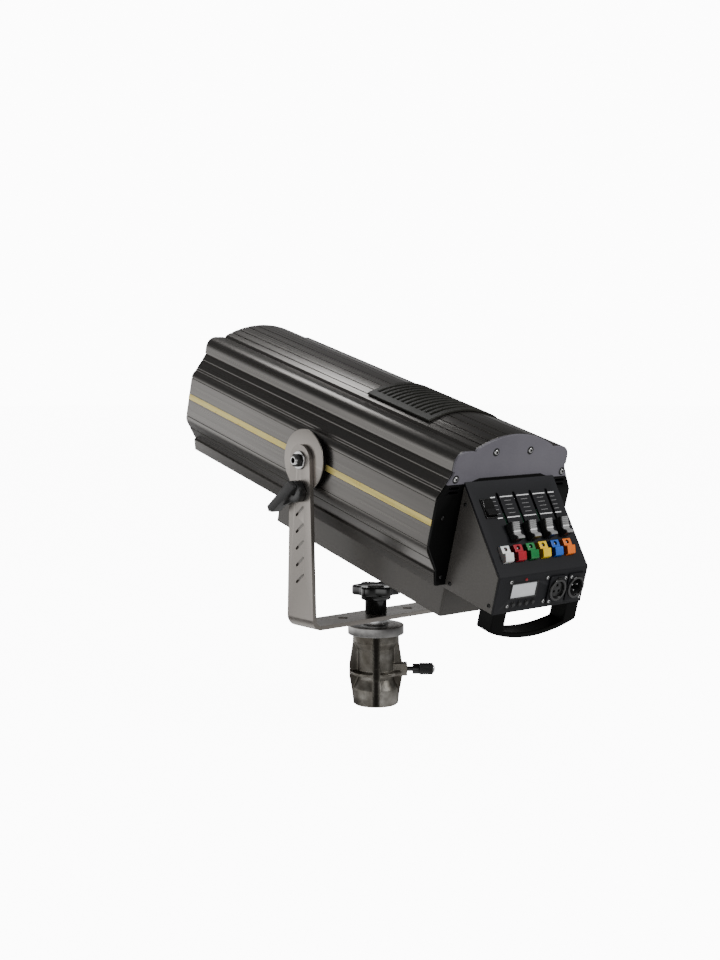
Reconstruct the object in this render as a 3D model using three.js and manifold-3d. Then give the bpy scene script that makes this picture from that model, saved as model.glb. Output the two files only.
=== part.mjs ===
// Follow spot on a yoke and a stand head.
// Millimetres. Origin at the bottom centre of the stand head casting, +Z up, +Y along the beam,
// +X to the operator's right. The head is drawn level in its own frame, whose origin is the tilt
// pivot, and is then tipped up by PITCH.
import * as THREE from 'three';
import { mergeVertices } from 'three/addons/utils/BufferGeometryUtils.js';
import Module from 'manifold-3d';

const wasm = await Module();
wasm.setup();

// ---------------------------------------------------------------- driving dimensions
const GAP = 0.3; // between pieces that touch
const PITCH = THREE.MathUtils.degToRad(15); // front up, in the pose shown
const CASTING_TURN = THREE.MathUtils.degToRad(-40); // stand head fins against the beam

// stand head
const CASTING_HEIGHT = 94.5;
const COLLAR = { radius: 33, height: 10.8 };
const MAST_BORE = { radius: 18.2, depth: 70 };
const FIN = { count: 4, thickness: 8 };
const LOCK_HEIGHT = 41;
const LOCK_BOSS = { reach: 37, size: 14.5 };
const STUD_RADIUS = 6;
const WASHER_THICKNESS = 7.6;

// yoke
const YOKE_WIDTH = 226;
const YOKE_THICKNESS = 5;
const BAR_WIDTH = 45;
const ARM_WIDTH_LOW = 47;
const ARM_TOP_RADIUS = 17.5;
const BEND_RADIUS = 13;
const PIVOT_ABOVE_BAR = 186; // pivot to the top of the bar
const BAR_HOLE = { radius: 6, x: 50 };
const ARM_SLOTS = { count: 5, first: -57.4, pitch: 19, length: 18.4, width: 3, slope: 39 };
const WING_DROP = 35; // wing knob below the pivot
const WING = { reach: 46.5, low: 4, high: 12, depth: 13, droop: THREE.MathUtils.degToRad(38) };
const WING_HUB = { radius: 12, depth: 11 };
const PIVOT_BOLT = { radius: 4.8, innerRadius: 3 };
const DISC = { radius: 35, thickness: 5, hubRadius: 20 };

// head, in its own level frame
const BODY_FRONT = 249;
const BODY_REAR = -208;
const WALL = 2.5;
const CROWN = { radius: 122, top: 92.5, halfWidth: 56 };
const SHOULDER = { x: 84.5, z: 76.5, radius: 12.5, seam: 55.6 };
const PANEL = { x: 99.5, top: 26.4, bottom: -26 };
const SKIRT = { notchX: 83, notchZ: -52.5, x: 79, bottom: -70 };
const STRIPE = { height: 7.6, z: 0.5, depth: 0.8 };
const GROOVE = { width: 1.6, depth: 0.9 };
const TRAY = { halfWidth: 60, bottom: -109, front: 89, wall: 2 };
const VENT = {
  rear: -128, front: -24, spread: 24.5,
  slots: 12, firstSlot: -119.6, pitch: 7.9, slotHalf: 2.2,
};
const OPTIC_Z = 10; // optical axis above the pivot

const LID_TOP = SKIRT.bottom + WALL + GAP + TRAY.wall; // upper face of the tray's lid

// mains inlet in the tray's right-hand wall
const INLET = { y: -150, z: -90, halfLength: 13.5, halfHeight: 9.9, flange: [24, 11.5], depth: 18 };
const SUPPLY = { x: [-53, 40], y: [-200, -80], top: -77 };
const BOARD = { halfWidth: 56, down: [30, 92], under: [-22, -20.4] };

const PLATE_THICKNESS = 3;
// lower edge of the rear plate: raised over the control box, lower at both ends
const PLATE_EDGE = { middle: 46.8, ends: 41.6, middleHalf: 46, endsFrom: 62 };
const LOUVRES = { x: 79.5, halfLength: 7, z: [32.8, 37.5], halfHeight: 1.2 };

// control box, side outline from the top edge round to the bottom front
const BOX_HALF_WIDTH = 66.5;
const BOX_FRONT = BODY_REAR - PLATE_THICKNESS - 2 * GAP;
const BOX_REAR = -286;
const BOX_TOP = 44;
const BOX_KNEE = -33;
const BOX_BOTTOM = -73.5;
const BOX_WALL = 2;
const SHEET = 2.5; // control panel sheet
const SLOPE_ANGLE = Math.atan2(BOX_TOP - BOX_KNEE, BOX_FRONT - BOX_REAR);

// controls, placed across the slope by x and down it by the distance from its top edge
const FADER = { count: 4, firstX: -27.6, pitch: 24.8, park: 61.3, travel: 42, width: 11, length: 20 };
const FADER_SLOT = { width: 3.4, margin: 4.5 };
const KEY = { count: 6, firstX: -48.6, pitch: 18.6, down: 83.4, width: 13.2, length: 17.4 };
const ROCKER = { x: -47, down: 31.5, width: 14.4, length: 17.6, swing: THREE.MathUtils.degToRad(8) };
const MENU = { count: 4, firstX: -40.1, pitch: 9.8, z: -64.6, radius: 2.4 };
const DISPLAY = { x: -27.2, z: -50, width: 37, height: 15.6 };
const XLR = { x: [22, 50.4], z: -54.2, flange: [26, 31], barrel: 11.4 };
const HANDLE = { depth: 21, outerHalf: 65, corner: -93.6, lowest: -106, innerHalf: 45.5, innerCorner: -94.3,
  innerLowest: -99.8 };

// inside the head, stations along the beam
const FAN = { rear: -204, depth: 20, size: 80 };
const HEATSINK = { rear: -181, front: -115, width: 108, height: 96, fins: 9 };
const LED_FRONT = -110;
const CONDENSER = { rear: -92, radius: 32 };
const WHEEL = { y: -51, z: -30, radius: 54, filterRadius: 14, filters: 7 };
const GATE = { rear: -45, front: -42, aperture: 20 };
const ROD = { x: 72, radius: 4 };
const CARRIAGE = { y: 60, lensRadius: 40 };
const FRONT_PLATE = { rear: 241, front: 244, aperture: 61 };

const PIVOT_Z = CASTING_HEIGHT + WASHER_THICKNESS + 2 * GAP + YOKE_THICKNESS + PIVOT_ABOVE_BAR;

// ---------------------------------------------------------------- materials
const paint = (color, roughness, metalness) =>
  new THREE.MeshStandardMaterial({ color, roughness, metalness });

const MATERIAL = {
  anodised: paint(0x35332f, 0.35, 0.85),
  plate: paint(0x4b4953, 0.55, 0.3),
  taupe: paint(0x6d665f, 0.55, 0.3),
  yoke: paint(0x77726d, 0.5, 0.4),
  panel: paint(0x26262b, 0.6, 0.2),
  gold: paint(0xdccb7a, 0.4, 0.5),
  grille: paint(0x4a4a40, 0.6, 0.3),
  casting: paint(0x9a968d, 0.45, 0.9),
  steel: paint(0xc9c9c9, 0.3, 0.95),
  plastic: paint(0x151515, 0.5, 0.0),
  fader: paint(0x85858a, 0.5, 0.1),
  glass: paint(0xdfe8ec, 0.05, 0.0),
  screen: paint(0xd9dcde, 0.3, 0.0),
  aluminium: paint(0xb9bbbd, 0.4, 0.9),
  board: paint(0x1e5a3a, 0.5, 0.1),
  lamp: paint(0xe8c94a, 0.5, 0.1),
};
const KEY_COLOURS = {
  white: 0xf2f2f0,
  red: 0xc0202a,
  green: 0x1f9a48,
  yellow: 0xf0cf2a,
  blue: 0x2a62c8,
  orange: 0xee6a1e,
};

// ---------------------------------------------------------------- shape helpers
function cleaned(geometry) {
  const bare = geometry.index ? geometry.toNonIndexed() : geometry.clone();
  for (const name of Object.keys(bare.attributes)) {
    if (name !== 'position') bare.deleteAttribute(name);
  }
  return mergeVertices(bare, 1e-4);
}

function solid(geometry) {
  const g = cleaned(geometry);
  const vertProperties = new Float32Array(g.attributes.position.array);
  const triVerts = new Uint32Array(g.index.array);
  return new wasm.Manifold(new wasm.Mesh({ numProp: 3, vertProperties, triVerts }));
}

function geometryOf(manifold) {
  const mesh = manifold.getMesh();
  const g = new THREE.BufferGeometry();
  g.setAttribute('position', new THREE.BufferAttribute(new Float32Array(mesh.vertProperties), 3));
  g.setIndex(new THREE.BufferAttribute(new Uint32Array(mesh.triVerts), 1));
  g.computeVertexNormals();
  return g;
}

// joins the first list and takes the second away
function carve(keep, cut = []) {
  let body = solid(keep[0]);
  for (const piece of keep.slice(1)) body = body.add(solid(piece));
  for (const piece of cut) body = body.subtract(solid(piece));
  return geometryOf(body);
}

function common(a, b) {
  return geometryOf(solid(a).intersect(solid(b)));
}

function polygon(points) {
  return new THREE.Shape(points.map(([x, y]) => new THREE.Vector2(x, y)));
}

// outline in X-Z, running from y0 to y1
function extrudeY(shape, y0, y1, curveSegments = 24) {
  const g = new THREE.ExtrudeGeometry(shape, { depth: y1 - y0, bevelEnabled: false, curveSegments });
  return g.rotateX(Math.PI / 2).translate(0, y1, 0);
}

// outline in Y-Z, running from x0 to x1
function extrudeX(shape, x0, x1, curveSegments = 24) {
  const g = new THREE.ExtrudeGeometry(shape, { depth: x1 - x0, bevelEnabled: false, curveSegments });
  const turn = new THREE.Matrix4().makeBasis(
    new THREE.Vector3(0, 1, 0), new THREE.Vector3(0, 0, 1), new THREE.Vector3(1, 0, 0));
  return g.applyMatrix4(turn).translate(x0, 0, 0);
}

function extrudeZ(shape, z0, z1, curveSegments = 24) {
  const g = new THREE.ExtrudeGeometry(shape, { depth: z1 - z0, bevelEnabled: false, curveSegments });
  return g.translate(0, 0, z0);
}

// box given by its limits on each axis
function block([x0, x1], [y0, y1], [z0, z1]) {
  const g = new THREE.BoxGeometry(x1 - x0, y1 - y0, z1 - z0);
  return g.translate((x0 + x1) / 2, (y0 + y1) / 2, (z0 + z1) / 2);
}

// solid of revolution about an axis through the origin; profile is [radius, distance] pairs
function turned(profile, axis = 'z', segments = 24) {
  const points = profile.map(([r, h]) => new THREE.Vector2(r, h));
  const g = new THREE.LatheGeometry(points, segments);
  if (axis === 'z') g.rotateX(Math.PI / 2);
  if (axis === 'x') g.rotateZ(-Math.PI / 2);
  return g;
}

// rod of the given radius from a to b along an axis
function rod(radius, a, b, axis = 'z', segments = 20) {
  return turned([[0, a], [radius, a], [radius, b], [0, b]], axis, segments);
}

function arc(cx, cy, radius, from, to, steps) {
  const points = [];
  for (let i = 0; i <= steps; i += 1) {
    const angle = THREE.MathUtils.degToRad(from + ((to - from) * i) / steps);
    points.push([cx + radius * Math.cos(angle), cy + radius * Math.sin(angle)]);
  }
  return points;
}

const mirrored = (points) => points.map(([x, z]) => [-x, z]).reverse();

// mirror image in the plane x = 0, with the triangles turned the right way out again
function flipped(geometry) {
  const g = geometry.clone().scale(-1, 1, 1);
  const index = Array.from(g.index.array);
  for (let i = 0; i < index.length; i += 3) {
    [index[i], index[i + 1]] = [index[i + 1], index[i]];
  }
  g.setIndex(index);
  g.computeVertexNormals();
  return g;
}

function part(group, name, geometry, material, position = [0, 0, 0]) {
  const mesh = new THREE.Mesh(geometry, material);
  mesh.name = name;
  mesh.position.set(...position);
  group.add(mesh);
  return mesh;
}

// ---------------------------------------------------------------- scene graph
const followSpot = new THREE.Group();
const castingFrame = new THREE.Group();
castingFrame.rotation.z = CASTING_TURN;
const yokeFrame = new THREE.Group();
yokeFrame.position.z = PIVOT_Z;
const headFrame = new THREE.Group();
headFrame.position.z = PIVOT_Z;
headFrame.rotation.x = PITCH;
const slopeFrame = new THREE.Group(); // y up the slope, z out of it, origin on its top edge
slopeFrame.position.set(0, BOX_FRONT, BOX_TOP);
slopeFrame.rotation.x = SLOPE_ANGLE;
const faceFrame = new THREE.Group(); // the upright rear face: y up, z out towards the operator
faceFrame.position.set(0, BOX_REAR, 0);
faceFrame.rotation.x = Math.PI / 2;
headFrame.add(slopeFrame, faceFrame);
followSpot.add(castingFrame, yokeFrame, headFrame);

// ---------------------------------------------------------------- stand head
function standCasting() {
  const h = CASTING_HEIGHT;
  const barrel = turned([
    [0, 0], [25.6, 0], [26.7, 8], [26.7, 19], [21.5, 31], [21.5, h - 28], [26.5, h - 20],
    [26.5, h - COLLAR.height], [COLLAR.radius, h - COLLAR.height], [COLLAR.radius, h], [0, h],
  ], 'z', 32);
  const keep = [barrel];
  const finEdge = [[17, 0.5], [26.4, 0.5], [28, 14], [31.4, 33], [31.4, 47], [27.5, 72],
    [27, h - COLLAR.height - 0.2], [17, h - COLLAR.height - 0.2]];
  const web = arc(0, 0, 30.6, 0, 360, 32).slice(0, -1);
  keep.push(extrudeZ(polygon(web), h - 58, h - 54.5));
  for (let i = 0; i < FIN.count; i += 1) {
    const fin = extrudeY(polygon(finEdge), -FIN.thickness / 2, FIN.thickness / 2);
    keep.push(fin.rotateZ((i * Math.PI * 2) / FIN.count));
  }
  const half = LOCK_BOSS.size / 2;
  keep.push(block([20, LOCK_BOSS.reach], [-half, half], [LOCK_HEIGHT - half, LOCK_HEIGHT + half]));
  const cut = [
    rod(MAST_BORE.radius, -1, MAST_BORE.depth, 'z', 32),
    rod(STUD_RADIUS + GAP, MAST_BORE.depth - 1, h + 1, 'z', 16),
    rod(3.4, 10, LOCK_BOSS.reach + 1, 'x', 12).translate(0, 0, LOCK_HEIGHT),
  ];
  return carve(keep, cut);
}

function panStud() {
  const headHeight = 7;
  const headTop = MAST_BORE.depth - GAP;
  const hex = rod(10.4, headTop - headHeight, headTop, 'z', 6);
  const top = PIVOT_Z - PIVOT_ABOVE_BAR + 22;
  return carve([hex, rod(STUD_RADIUS, headTop - headHeight / 2, top)]);
}

function panWasher() {
  const inner = STUD_RADIUS + GAP;
  const outer = 15;
  return turned([[inner, 0], [outer, 0], [outer, WASHER_THICKNESS], [inner, WASHER_THICKNESS], [inner, 0]]);
}

// plain shank, collar and knurled head, all about the screw's own axis
function lockScrew() {
  const tip = MAST_BORE.radius - 0.4;
  return turned([
    [0, tip], [3, tip], [3, 43], [6.2, 43.6], [6.2, 51], [7, 52], [7, 67], [5, 70], [0, 70],
  ], 'x', 16);
}

function starKnob() {
  const lobes = 6;
  const outline = [];
  const steps = 48;
  for (let i = 0; i < steps; i += 1) {
    const angle = (i / steps) * Math.PI * 2;
    const r = 25.2 + 3 * Math.cos(lobes * angle);
    outline.push([r * Math.cos(angle), r * Math.sin(angle)]);
  }
  const rim = extrudeZ(polygon(outline), 22, 33.5);
  const stem = turned([[0, 0], [12.8, 0], [12.8, 16], [17.5, 16.5], [17.5, 22.5], [0, 22.5]]);
  const dish = turned([[0, 31.5], [17, 31.8], [20.5, 34], [0, 34]]);
  const bore = rod(STUD_RADIUS + GAP, -1, 25);
  return carve([rim, stem], [dish, bore]);
}

part(castingFrame, 'stand_casting', standCasting(), MATERIAL.casting);
part(castingFrame, 'pan_stud', panStud(), MATERIAL.steel);
part(castingFrame, 'pan_washer', panWasher(), MATERIAL.steel, [0, 0, CASTING_HEIGHT + GAP]);
part(castingFrame, 'stand_lock_screw', lockScrew(), MATERIAL.plastic, [0, 0, LOCK_HEIGHT]);
part(castingFrame, 'star_knob', starKnob(), MATERIAL.plastic,
  [0, 0, PIVOT_Z - PIVOT_ABOVE_BAR + GAP]);

// ---------------------------------------------------------------- yoke
function slotShape(length, width) {
  const half = (length - width) / 2;
  return polygon([
    ...arc(half, 0, width / 2, -90, 90, 3), ...arc(-half, 0, width / 2, 90, 270, 3),
  ]);
}

function yoke() {
  const half = YOKE_WIDTH / 2;
  const low = -PIVOT_ABOVE_BAR - YOKE_THICKNESS;
  const inside = half - YOKE_THICKNESS;
  const inner = BEND_RADIUS - YOKE_THICKNESS;
  const right = [
    ...arc(half - BEND_RADIUS, low + BEND_RADIUS, BEND_RADIUS, -90, 0, 6), [half, 30], [inside, 30],
    ...arc(half - BEND_RADIUS, low + BEND_RADIUS, inner, 0, -90, 6),
  ];
  const strap = extrudeY(polygon([...right, ...mirrored(right)]), -30, 30);
  const foot = low + BEND_RADIUS;
  const side = [
    ...arc(0, 0, ARM_TOP_RADIUS, 0, 180, 14), [-ARM_WIDTH_LOW / 2, foot], [-BAR_WIDTH / 2, low - 1],
    [BAR_WIDTH / 2, low - 1], [ARM_WIDTH_LOW / 2, foot],
  ];
  const blank = common(strap, extrudeX(polygon(side), -half - 1, half + 1));
  const cut = [
    rod(PIVOT_BOLT.radius + GAP, -half - 1, half + 1, 'x', 16),
    rod(3 + GAP, -half - 1, half + 1, 'x', 12).translate(0, 0, -WING_DROP),
    rod(STUD_RADIUS + GAP, low - 1, low + YOKE_THICKNESS + 1),
  ];
  for (const sign of [-1, 1]) {
    cut.push(rod(BAR_HOLE.radius, low - 1, low + YOKE_THICKNESS + 1, 'z', 16)
      .translate(sign * BAR_HOLE.x, 0, 0));
  }
  for (let i = 0; i < ARM_SLOTS.count; i += 1) {
    const slot = extrudeX(slotShape(ARM_SLOTS.length, ARM_SLOTS.width), -half - 1, half + 1, 4);
    slot.rotateX(THREE.MathUtils.degToRad(-ARM_SLOTS.slope));
    cut.push(slot.translate(0, 0, ARM_SLOTS.first - i * ARM_SLOTS.pitch));
  }
  return carve([blank], cut);
}

// bolt through arm, friction disc and side shell, drawn for the right-hand side
function pivotBolt() {
  const face = YOKE_WIDTH / 2 + GAP;
  const washer = rod(10.5, face, face + 1.8, 'x', 16);
  const nut = rod(8, face + 1.5, face + 6.5, 'x', 6);
  const thread = rod(PIVOT_BOLT.radius, PANEL.x + 3, face + 9, 'x', 12);
  const shank = rod(PIVOT_BOLT.innerRadius, PANEL.x - 10, face, 'x', 12);
  const head = rod(7.2, PANEL.x - 11, PANEL.x - WALL - 1, 'x', 6);
  return carve([washer, nut, thread, shank, head]);
}

// one-armed clamping knob, drawn for the right-hand side about its own screw axis, arm to the rear
function wingKnob() {
  const face = YOKE_WIDTH / 2 + GAP;
  const bar = polygon([[9, WING.low], [5, WING.high], [-WING.reach, WING.high], [-WING.reach, WING.low]]);
  const web = polygon([[9, WING.low + 1], [-WING.reach + 4, WING.low + 1], [-15.5, -4.7], [0, -6]]);
  const blade = extrudeX(bar, face + 0.5, face + WING.depth);
  const gusset = extrudeX(web, face + 0.5, face + WING_HUB.depth / 2);
  blade.rotateX(WING.droop);
  gusset.rotateX(WING.droop);
  const { radius, depth } = WING_HUB;
  const hub = turned([[0, 0], [radius, 0], [radius, depth - 1], [radius - 1, depth], [0, depth]], 'x', 20);
  const screw = rod(3, YOKE_WIDTH / 2 - YOKE_THICKNESS, face + 1, 'x', 12);
  return carve([blade, gusset, hub.translate(face, 0, 0), screw]);
}

part(yokeFrame, 'yoke', yoke(), MATERIAL.yoke);
for (const [side, turn] of [['right', 0], ['left', Math.PI]]) {
  const bolt = part(yokeFrame, `pivot_bolt_${side}`, pivotBolt(), MATERIAL.steel);
  bolt.rotation.z = turn;
  const knob = part(yokeFrame, `wing_knob_${side}`, wingKnob(), MATERIAL.plastic, [0, 0, -WING_DROP]);
  knob.rotation.z = turn;
}

// ---------------------------------------------------------------- head casing outlines
// groove points along a straight edge, at the given fractions of its length
function grooved(a, b, fractions) {
  const length = Math.hypot(b[0] - a[0], b[1] - a[1]);
  const along = [(b[0] - a[0]) / length, (b[1] - a[1]) / length];
  const inward = [along[1], -along[0]];
  const points = [a];
  for (const fraction of fractions) {
    for (const [shift, depth] of [[-0.5, 0], [0, 1], [0.5, 0]]) {
      const s = fraction * length + shift * GROOVE.width;
      points.push([
        a[0] + along[0] * s + inward[0] * depth * GROOVE.depth,
        a[1] + along[1] * s + inward[1] * depth * GROOVE.depth,
      ]);
    }
  }
  points.push(b);
  return points;
}

// crown and shoulder, right half, from the crown's middle down to the seam
function crownOutline(inset = 0) {
  const centre = CROWN.top - CROWN.radius;
  const end = THREE.MathUtils.radToDeg(Math.acos(CROWN.halfWidth / CROWN.radius));
  const valley = CROWN.halfWidth + 2;
  const corner = [SHOULDER.x - SHOULDER.radius, SHOULDER.z - SHOULDER.radius];
  return [
    ...arc(0, centre, CROWN.radius - inset, 90, end + inset * 0.4, 12),
    [valley - inset * 0.2, SHOULDER.z - 0.6 - inset],
    [valley + 3, SHOULDER.z - inset],
    ...arc(corner[0], corner[1], SHOULDER.radius - inset, 90, 0, 7),
    [SHOULDER.x - inset, SHOULDER.seam + GAP / 2],
  ];
}

// flank, flat side panel and skirt, right half, from the seam down
function sideOutline(inset = 0) {
  const seam = SHOULDER.seam - GAP / 2;
  if (inset) {
    const x = SHOULDER.x - inset;
    return [[x - 1.5, seam], [x - 0.4, seam - 4], [PANEL.x - inset, PANEL.top - 0.5],
      [PANEL.x - inset, PANEL.bottom + 0.5], [SKIRT.notchX - inset - 0.5, SKIRT.notchZ + 0.5],
      [SKIRT.x - inset, SKIRT.bottom + inset]];
  }
  const top = STRIPE.z + STRIPE.height / 2;
  const bottom = STRIPE.z - STRIPE.height / 2;
  const bed = PANEL.x - STRIPE.depth;
  return [
    [SHOULDER.x - 1.6, seam], [SHOULDER.x + 0.6, seam - 3.2],
    ...grooved([SHOULDER.x + 1, seam - 4.5], [PANEL.x, PANEL.top], [0.15, 0.63]),
    ...grooved([PANEL.x, PANEL.top - 0.5], [PANEL.x, top], [0.08]),
    [bed, top], [bed, bottom],
    ...grooved([PANEL.x, bottom], [PANEL.x, PANEL.bottom], [0.91]),
    ...grooved([PANEL.x - 0.4, PANEL.bottom - 0.8], [SKIRT.notchX, SKIRT.notchZ], [0.49]),
    [SKIRT.notchX - 1.8, SKIRT.notchZ - 2], [SKIRT.notchX - 0.4, SKIRT.notchZ - 4],
    [SKIRT.x, SKIRT.bottom],
  ];
}

function topShell() {
  const outer = crownOutline();
  const inner = crownOutline(WALL).reverse();
  const section = polygon([...mirrored(outer), ...outer.slice(1), ...inner, ...mirrored(inner).slice(1)]);
  const vent = block([-42, 42], [-118, -34], [60, 110]);
  return carve([extrudeY(section, BODY_REAR, BODY_FRONT)], [vent]);
}

// drawn for the right-hand side
function sideShell() {
  const flange = TRAY.halfWidth + GAP;
  const inner = sideOutline(WALL).reverse();
  const section = polygon([
    ...sideOutline(), [flange, SKIRT.bottom], [flange, SKIRT.bottom + WALL], ...inner,
  ]);
  const hole = rod(PIVOT_BOLT.innerRadius + GAP, 80, 110, 'x', 12);
  return carve([extrudeY(section, BODY_REAR, BODY_FRONT)], [hole]);
}

// whole outline of the casing, closed along the bottom
function casingOutline(inset = 0, bottom = SKIRT.bottom) {
  const half = [...crownOutline(inset), ...sideOutline(inset).slice(0, -1), [SKIRT.x - inset, bottom]];
  return polygon([...half, ...mirrored(half).slice(0, -1)]);
}

function baseTray() {
  const w = TRAY.halfWidth;
  const t = TRAY.wall;
  const lip = LID_TOP - t;
  const lid = block([-75.5, 75.5], [BODY_REAR, BODY_FRONT], [lip, lip + t]);
  const box = block([-w, w], [BODY_REAR, TRAY.front], [TRAY.bottom, lip + 1]);
  const hollow = block([t - w, w - t], [BODY_REAR + t, TRAY.front - t], [TRAY.bottom + t, lip + t + 1]);
  const length = INLET.halfLength + GAP;
  const height = INLET.halfHeight + GAP;
  const inlet = block([w - 5, w + 5], [INLET.y - length, INLET.y + length],
    [INLET.z - height, INLET.z + height]);
  return carve([lid, box], [hollow, inlet]);
}

function goldStripe() {
  const half = STRIPE.height / 2 - GAP;
  const x = PANEL.x - STRIPE.depth + GAP;
  const strip = block([x, PANEL.x + 0.2], [BODY_REAR, BODY_FRONT], [STRIPE.z - half, STRIPE.z + half]);
  return carve([strip], [rod(PIVOT_BOLT.innerRadius + GAP, 80, 110, 'x', 12)]);
}

// lower edge of the rear plate from left to right, moved down by some clearance
function plateEdge(down) {
  const { middle, ends, middleHalf, endsFrom } = PLATE_EDGE;
  const right = [[middleHalf, middle - down], [endsFrom, ends - down], [120, ends - down]];
  return [...mirrored(right), ...right];
}

function rearPlate() {
  const back = BODY_REAR - GAP;
  const sheet = extrudeY(casingOutline(), back - PLATE_THICKNESS, back);
  const above = polygon([...plateEdge(0), [120, 120], [-120, 120]]);
  return common(sheet, extrudeY(above, back - 2 * PLATE_THICKNESS, back + PLATE_THICKNESS));
}

function rearBulkhead() {
  const back = BODY_REAR - GAP;
  const sheet = extrudeY(casingOutline(), back - PLATE_THICKNESS, back);
  const below = polygon([[-120, -80], [120, -80], ...plateEdge(GAP).reverse()]);
  const lower = common(sheet, extrudeY(below, back - 2 * PLATE_THICKNESS, back + PLATE_THICKNESS));
  const through = [back - 2 * PLATE_THICKNESS, back + PLATE_THICKNESS];
  const cut = [block([-46, 46], through, [-52, 32])];
  const { x, halfLength, halfHeight } = LOUVRES;
  for (const sign of [-1, 1]) {
    for (const z of LOUVRES.z) {
      const slot = block([-halfLength, halfLength], through, [z - halfHeight, z + halfHeight]);
      cut.push(slot.translate(sign * x, 0, 0));
    }
  }
  return carve([lower], cut);
}

function frontPlate() {
  const { rear, front, aperture } = FRONT_PLATE;
  const sheet = extrudeY(casingOutline(WALL + 0.5, LID_TOP + GAP), rear, front);
  const hole = rod(aperture, rear - 1, front + 1, 'y', 32).translate(0, 0, OPTIC_Z);
  return carve([sheet], [hole]);
}

// ---------------------------------------------------------------- vent grille
function ventGrille() {
  const centre = CROWN.top - CROWN.radius;
  const outer = arc(0, centre, CROWN.radius + 3, 90 + VENT.spread, 90 - VENT.spread, 8);
  const inner = arc(0, centre, CROWN.radius + GAP, 90 - VENT.spread, 90 + VENT.spread, 8);
  const plate = extrudeY(polygon([...outer, ...inner]), VENT.rear, VENT.front);
  const cut = [];
  for (let i = 0; i < VENT.slots; i += 1) {
    const y = VENT.firstSlot + i * VENT.pitch;
    cut.push(block([-43, 43], [y - VENT.slotHalf, y + VENT.slotHalf], [60, 110]));
  }
  return carve([plate], cut);
}

part(headFrame, 'top_shell', topShell(), MATERIAL.anodised);
for (const [side, place] of [['right', (geometry) => geometry], ['left', flipped]]) {
  part(headFrame, `side_shell_${side}`, place(sideShell()), MATERIAL.anodised);
  part(headFrame, `side_stripe_${side}`, place(goldStripe()), MATERIAL.gold);
}
part(headFrame, 'base_tray', baseTray(), MATERIAL.taupe);
part(headFrame, 'rear_plate', rearPlate(), MATERIAL.plate);
part(headFrame, 'rear_bulkhead', rearBulkhead(), MATERIAL.panel);
part(headFrame, 'front_plate', frontPlate(), MATERIAL.panel);
part(headFrame, 'vent_grille', ventGrille(), MATERIAL.grille);

// ---------------------------------------------------------------- friction discs
function frictionDisc() {
  const outerFace = YOKE_WIDTH / 2 - YOKE_THICKNESS - GAP;
  const hubFace = PANEL.x + 0.5;
  const bore = PIVOT_BOLT.radius + GAP;
  return turned([
    [bore, hubFace], [DISC.hubRadius, hubFace], [DISC.hubRadius, outerFace - DISC.thickness],
    [DISC.radius, outerFace - DISC.thickness], [DISC.radius, outerFace], [bore, outerFace], [bore, hubFace],
  ], 'x', 32);
}

for (const [side, turn] of [['right', 0], ['left', Math.PI]]) {
  const disc = part(headFrame, `friction_disc_${side}`, frictionDisc(), MATERIAL.yoke);
  disc.rotation.z = turn;
}

// ---------------------------------------------------------------- control box and panel
// side outline of the box set back by some depth from the sloped and the upright face
function boxOutline(back, bottom) {
  const kneeShift = back * Math.tan((Math.PI / 2 - SLOPE_ANGLE) / 2);
  return [
    [BOX_FRONT, BOX_TOP - back / Math.cos(SLOPE_ANGLE)], [BOX_REAR + back, BOX_KNEE - kneeShift],
    [BOX_REAR + back, bottom], [BOX_FRONT, bottom],
  ];
}

function controlBox() {
  const set = SHEET + GAP;
  const outside = extrudeX(polygon(boxOutline(set, BOX_BOTTOM)), -BOX_HALF_WIDTH, BOX_HALF_WIDTH);
  const inner = BOX_HALF_WIDTH - BOX_WALL;
  const room = polygon([
    [BOX_FRONT + 1, BOX_TOP + 2], [BOX_REAR - 5, BOX_TOP + 2], [BOX_REAR - 5, BOX_BOTTOM + BOX_WALL],
    [BOX_FRONT + 1, BOX_BOTTOM + BOX_WALL],
  ]);
  return carve([outside], [extrudeX(room, -inner, inner)]);
}

const inSlope = (geometry) => {
  slopeFrame.updateMatrix();
  return geometry.applyMatrix4(slopeFrame.matrix);
};
const inFace = (geometry) => {
  faceFrame.updateMatrix();
  return geometry.applyMatrix4(faceFrame.matrix);
};

function faderX(i) {
  return FADER.firstX + i * FADER.pitch;
}

// rectangular cutter through the panel's sheet, by its centre and half sizes
function window(x, y, halfWidth, halfLength) {
  return block([x - halfWidth, x + halfWidth], [y - halfLength, y + halfLength], [-6, 6]);
}

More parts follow.
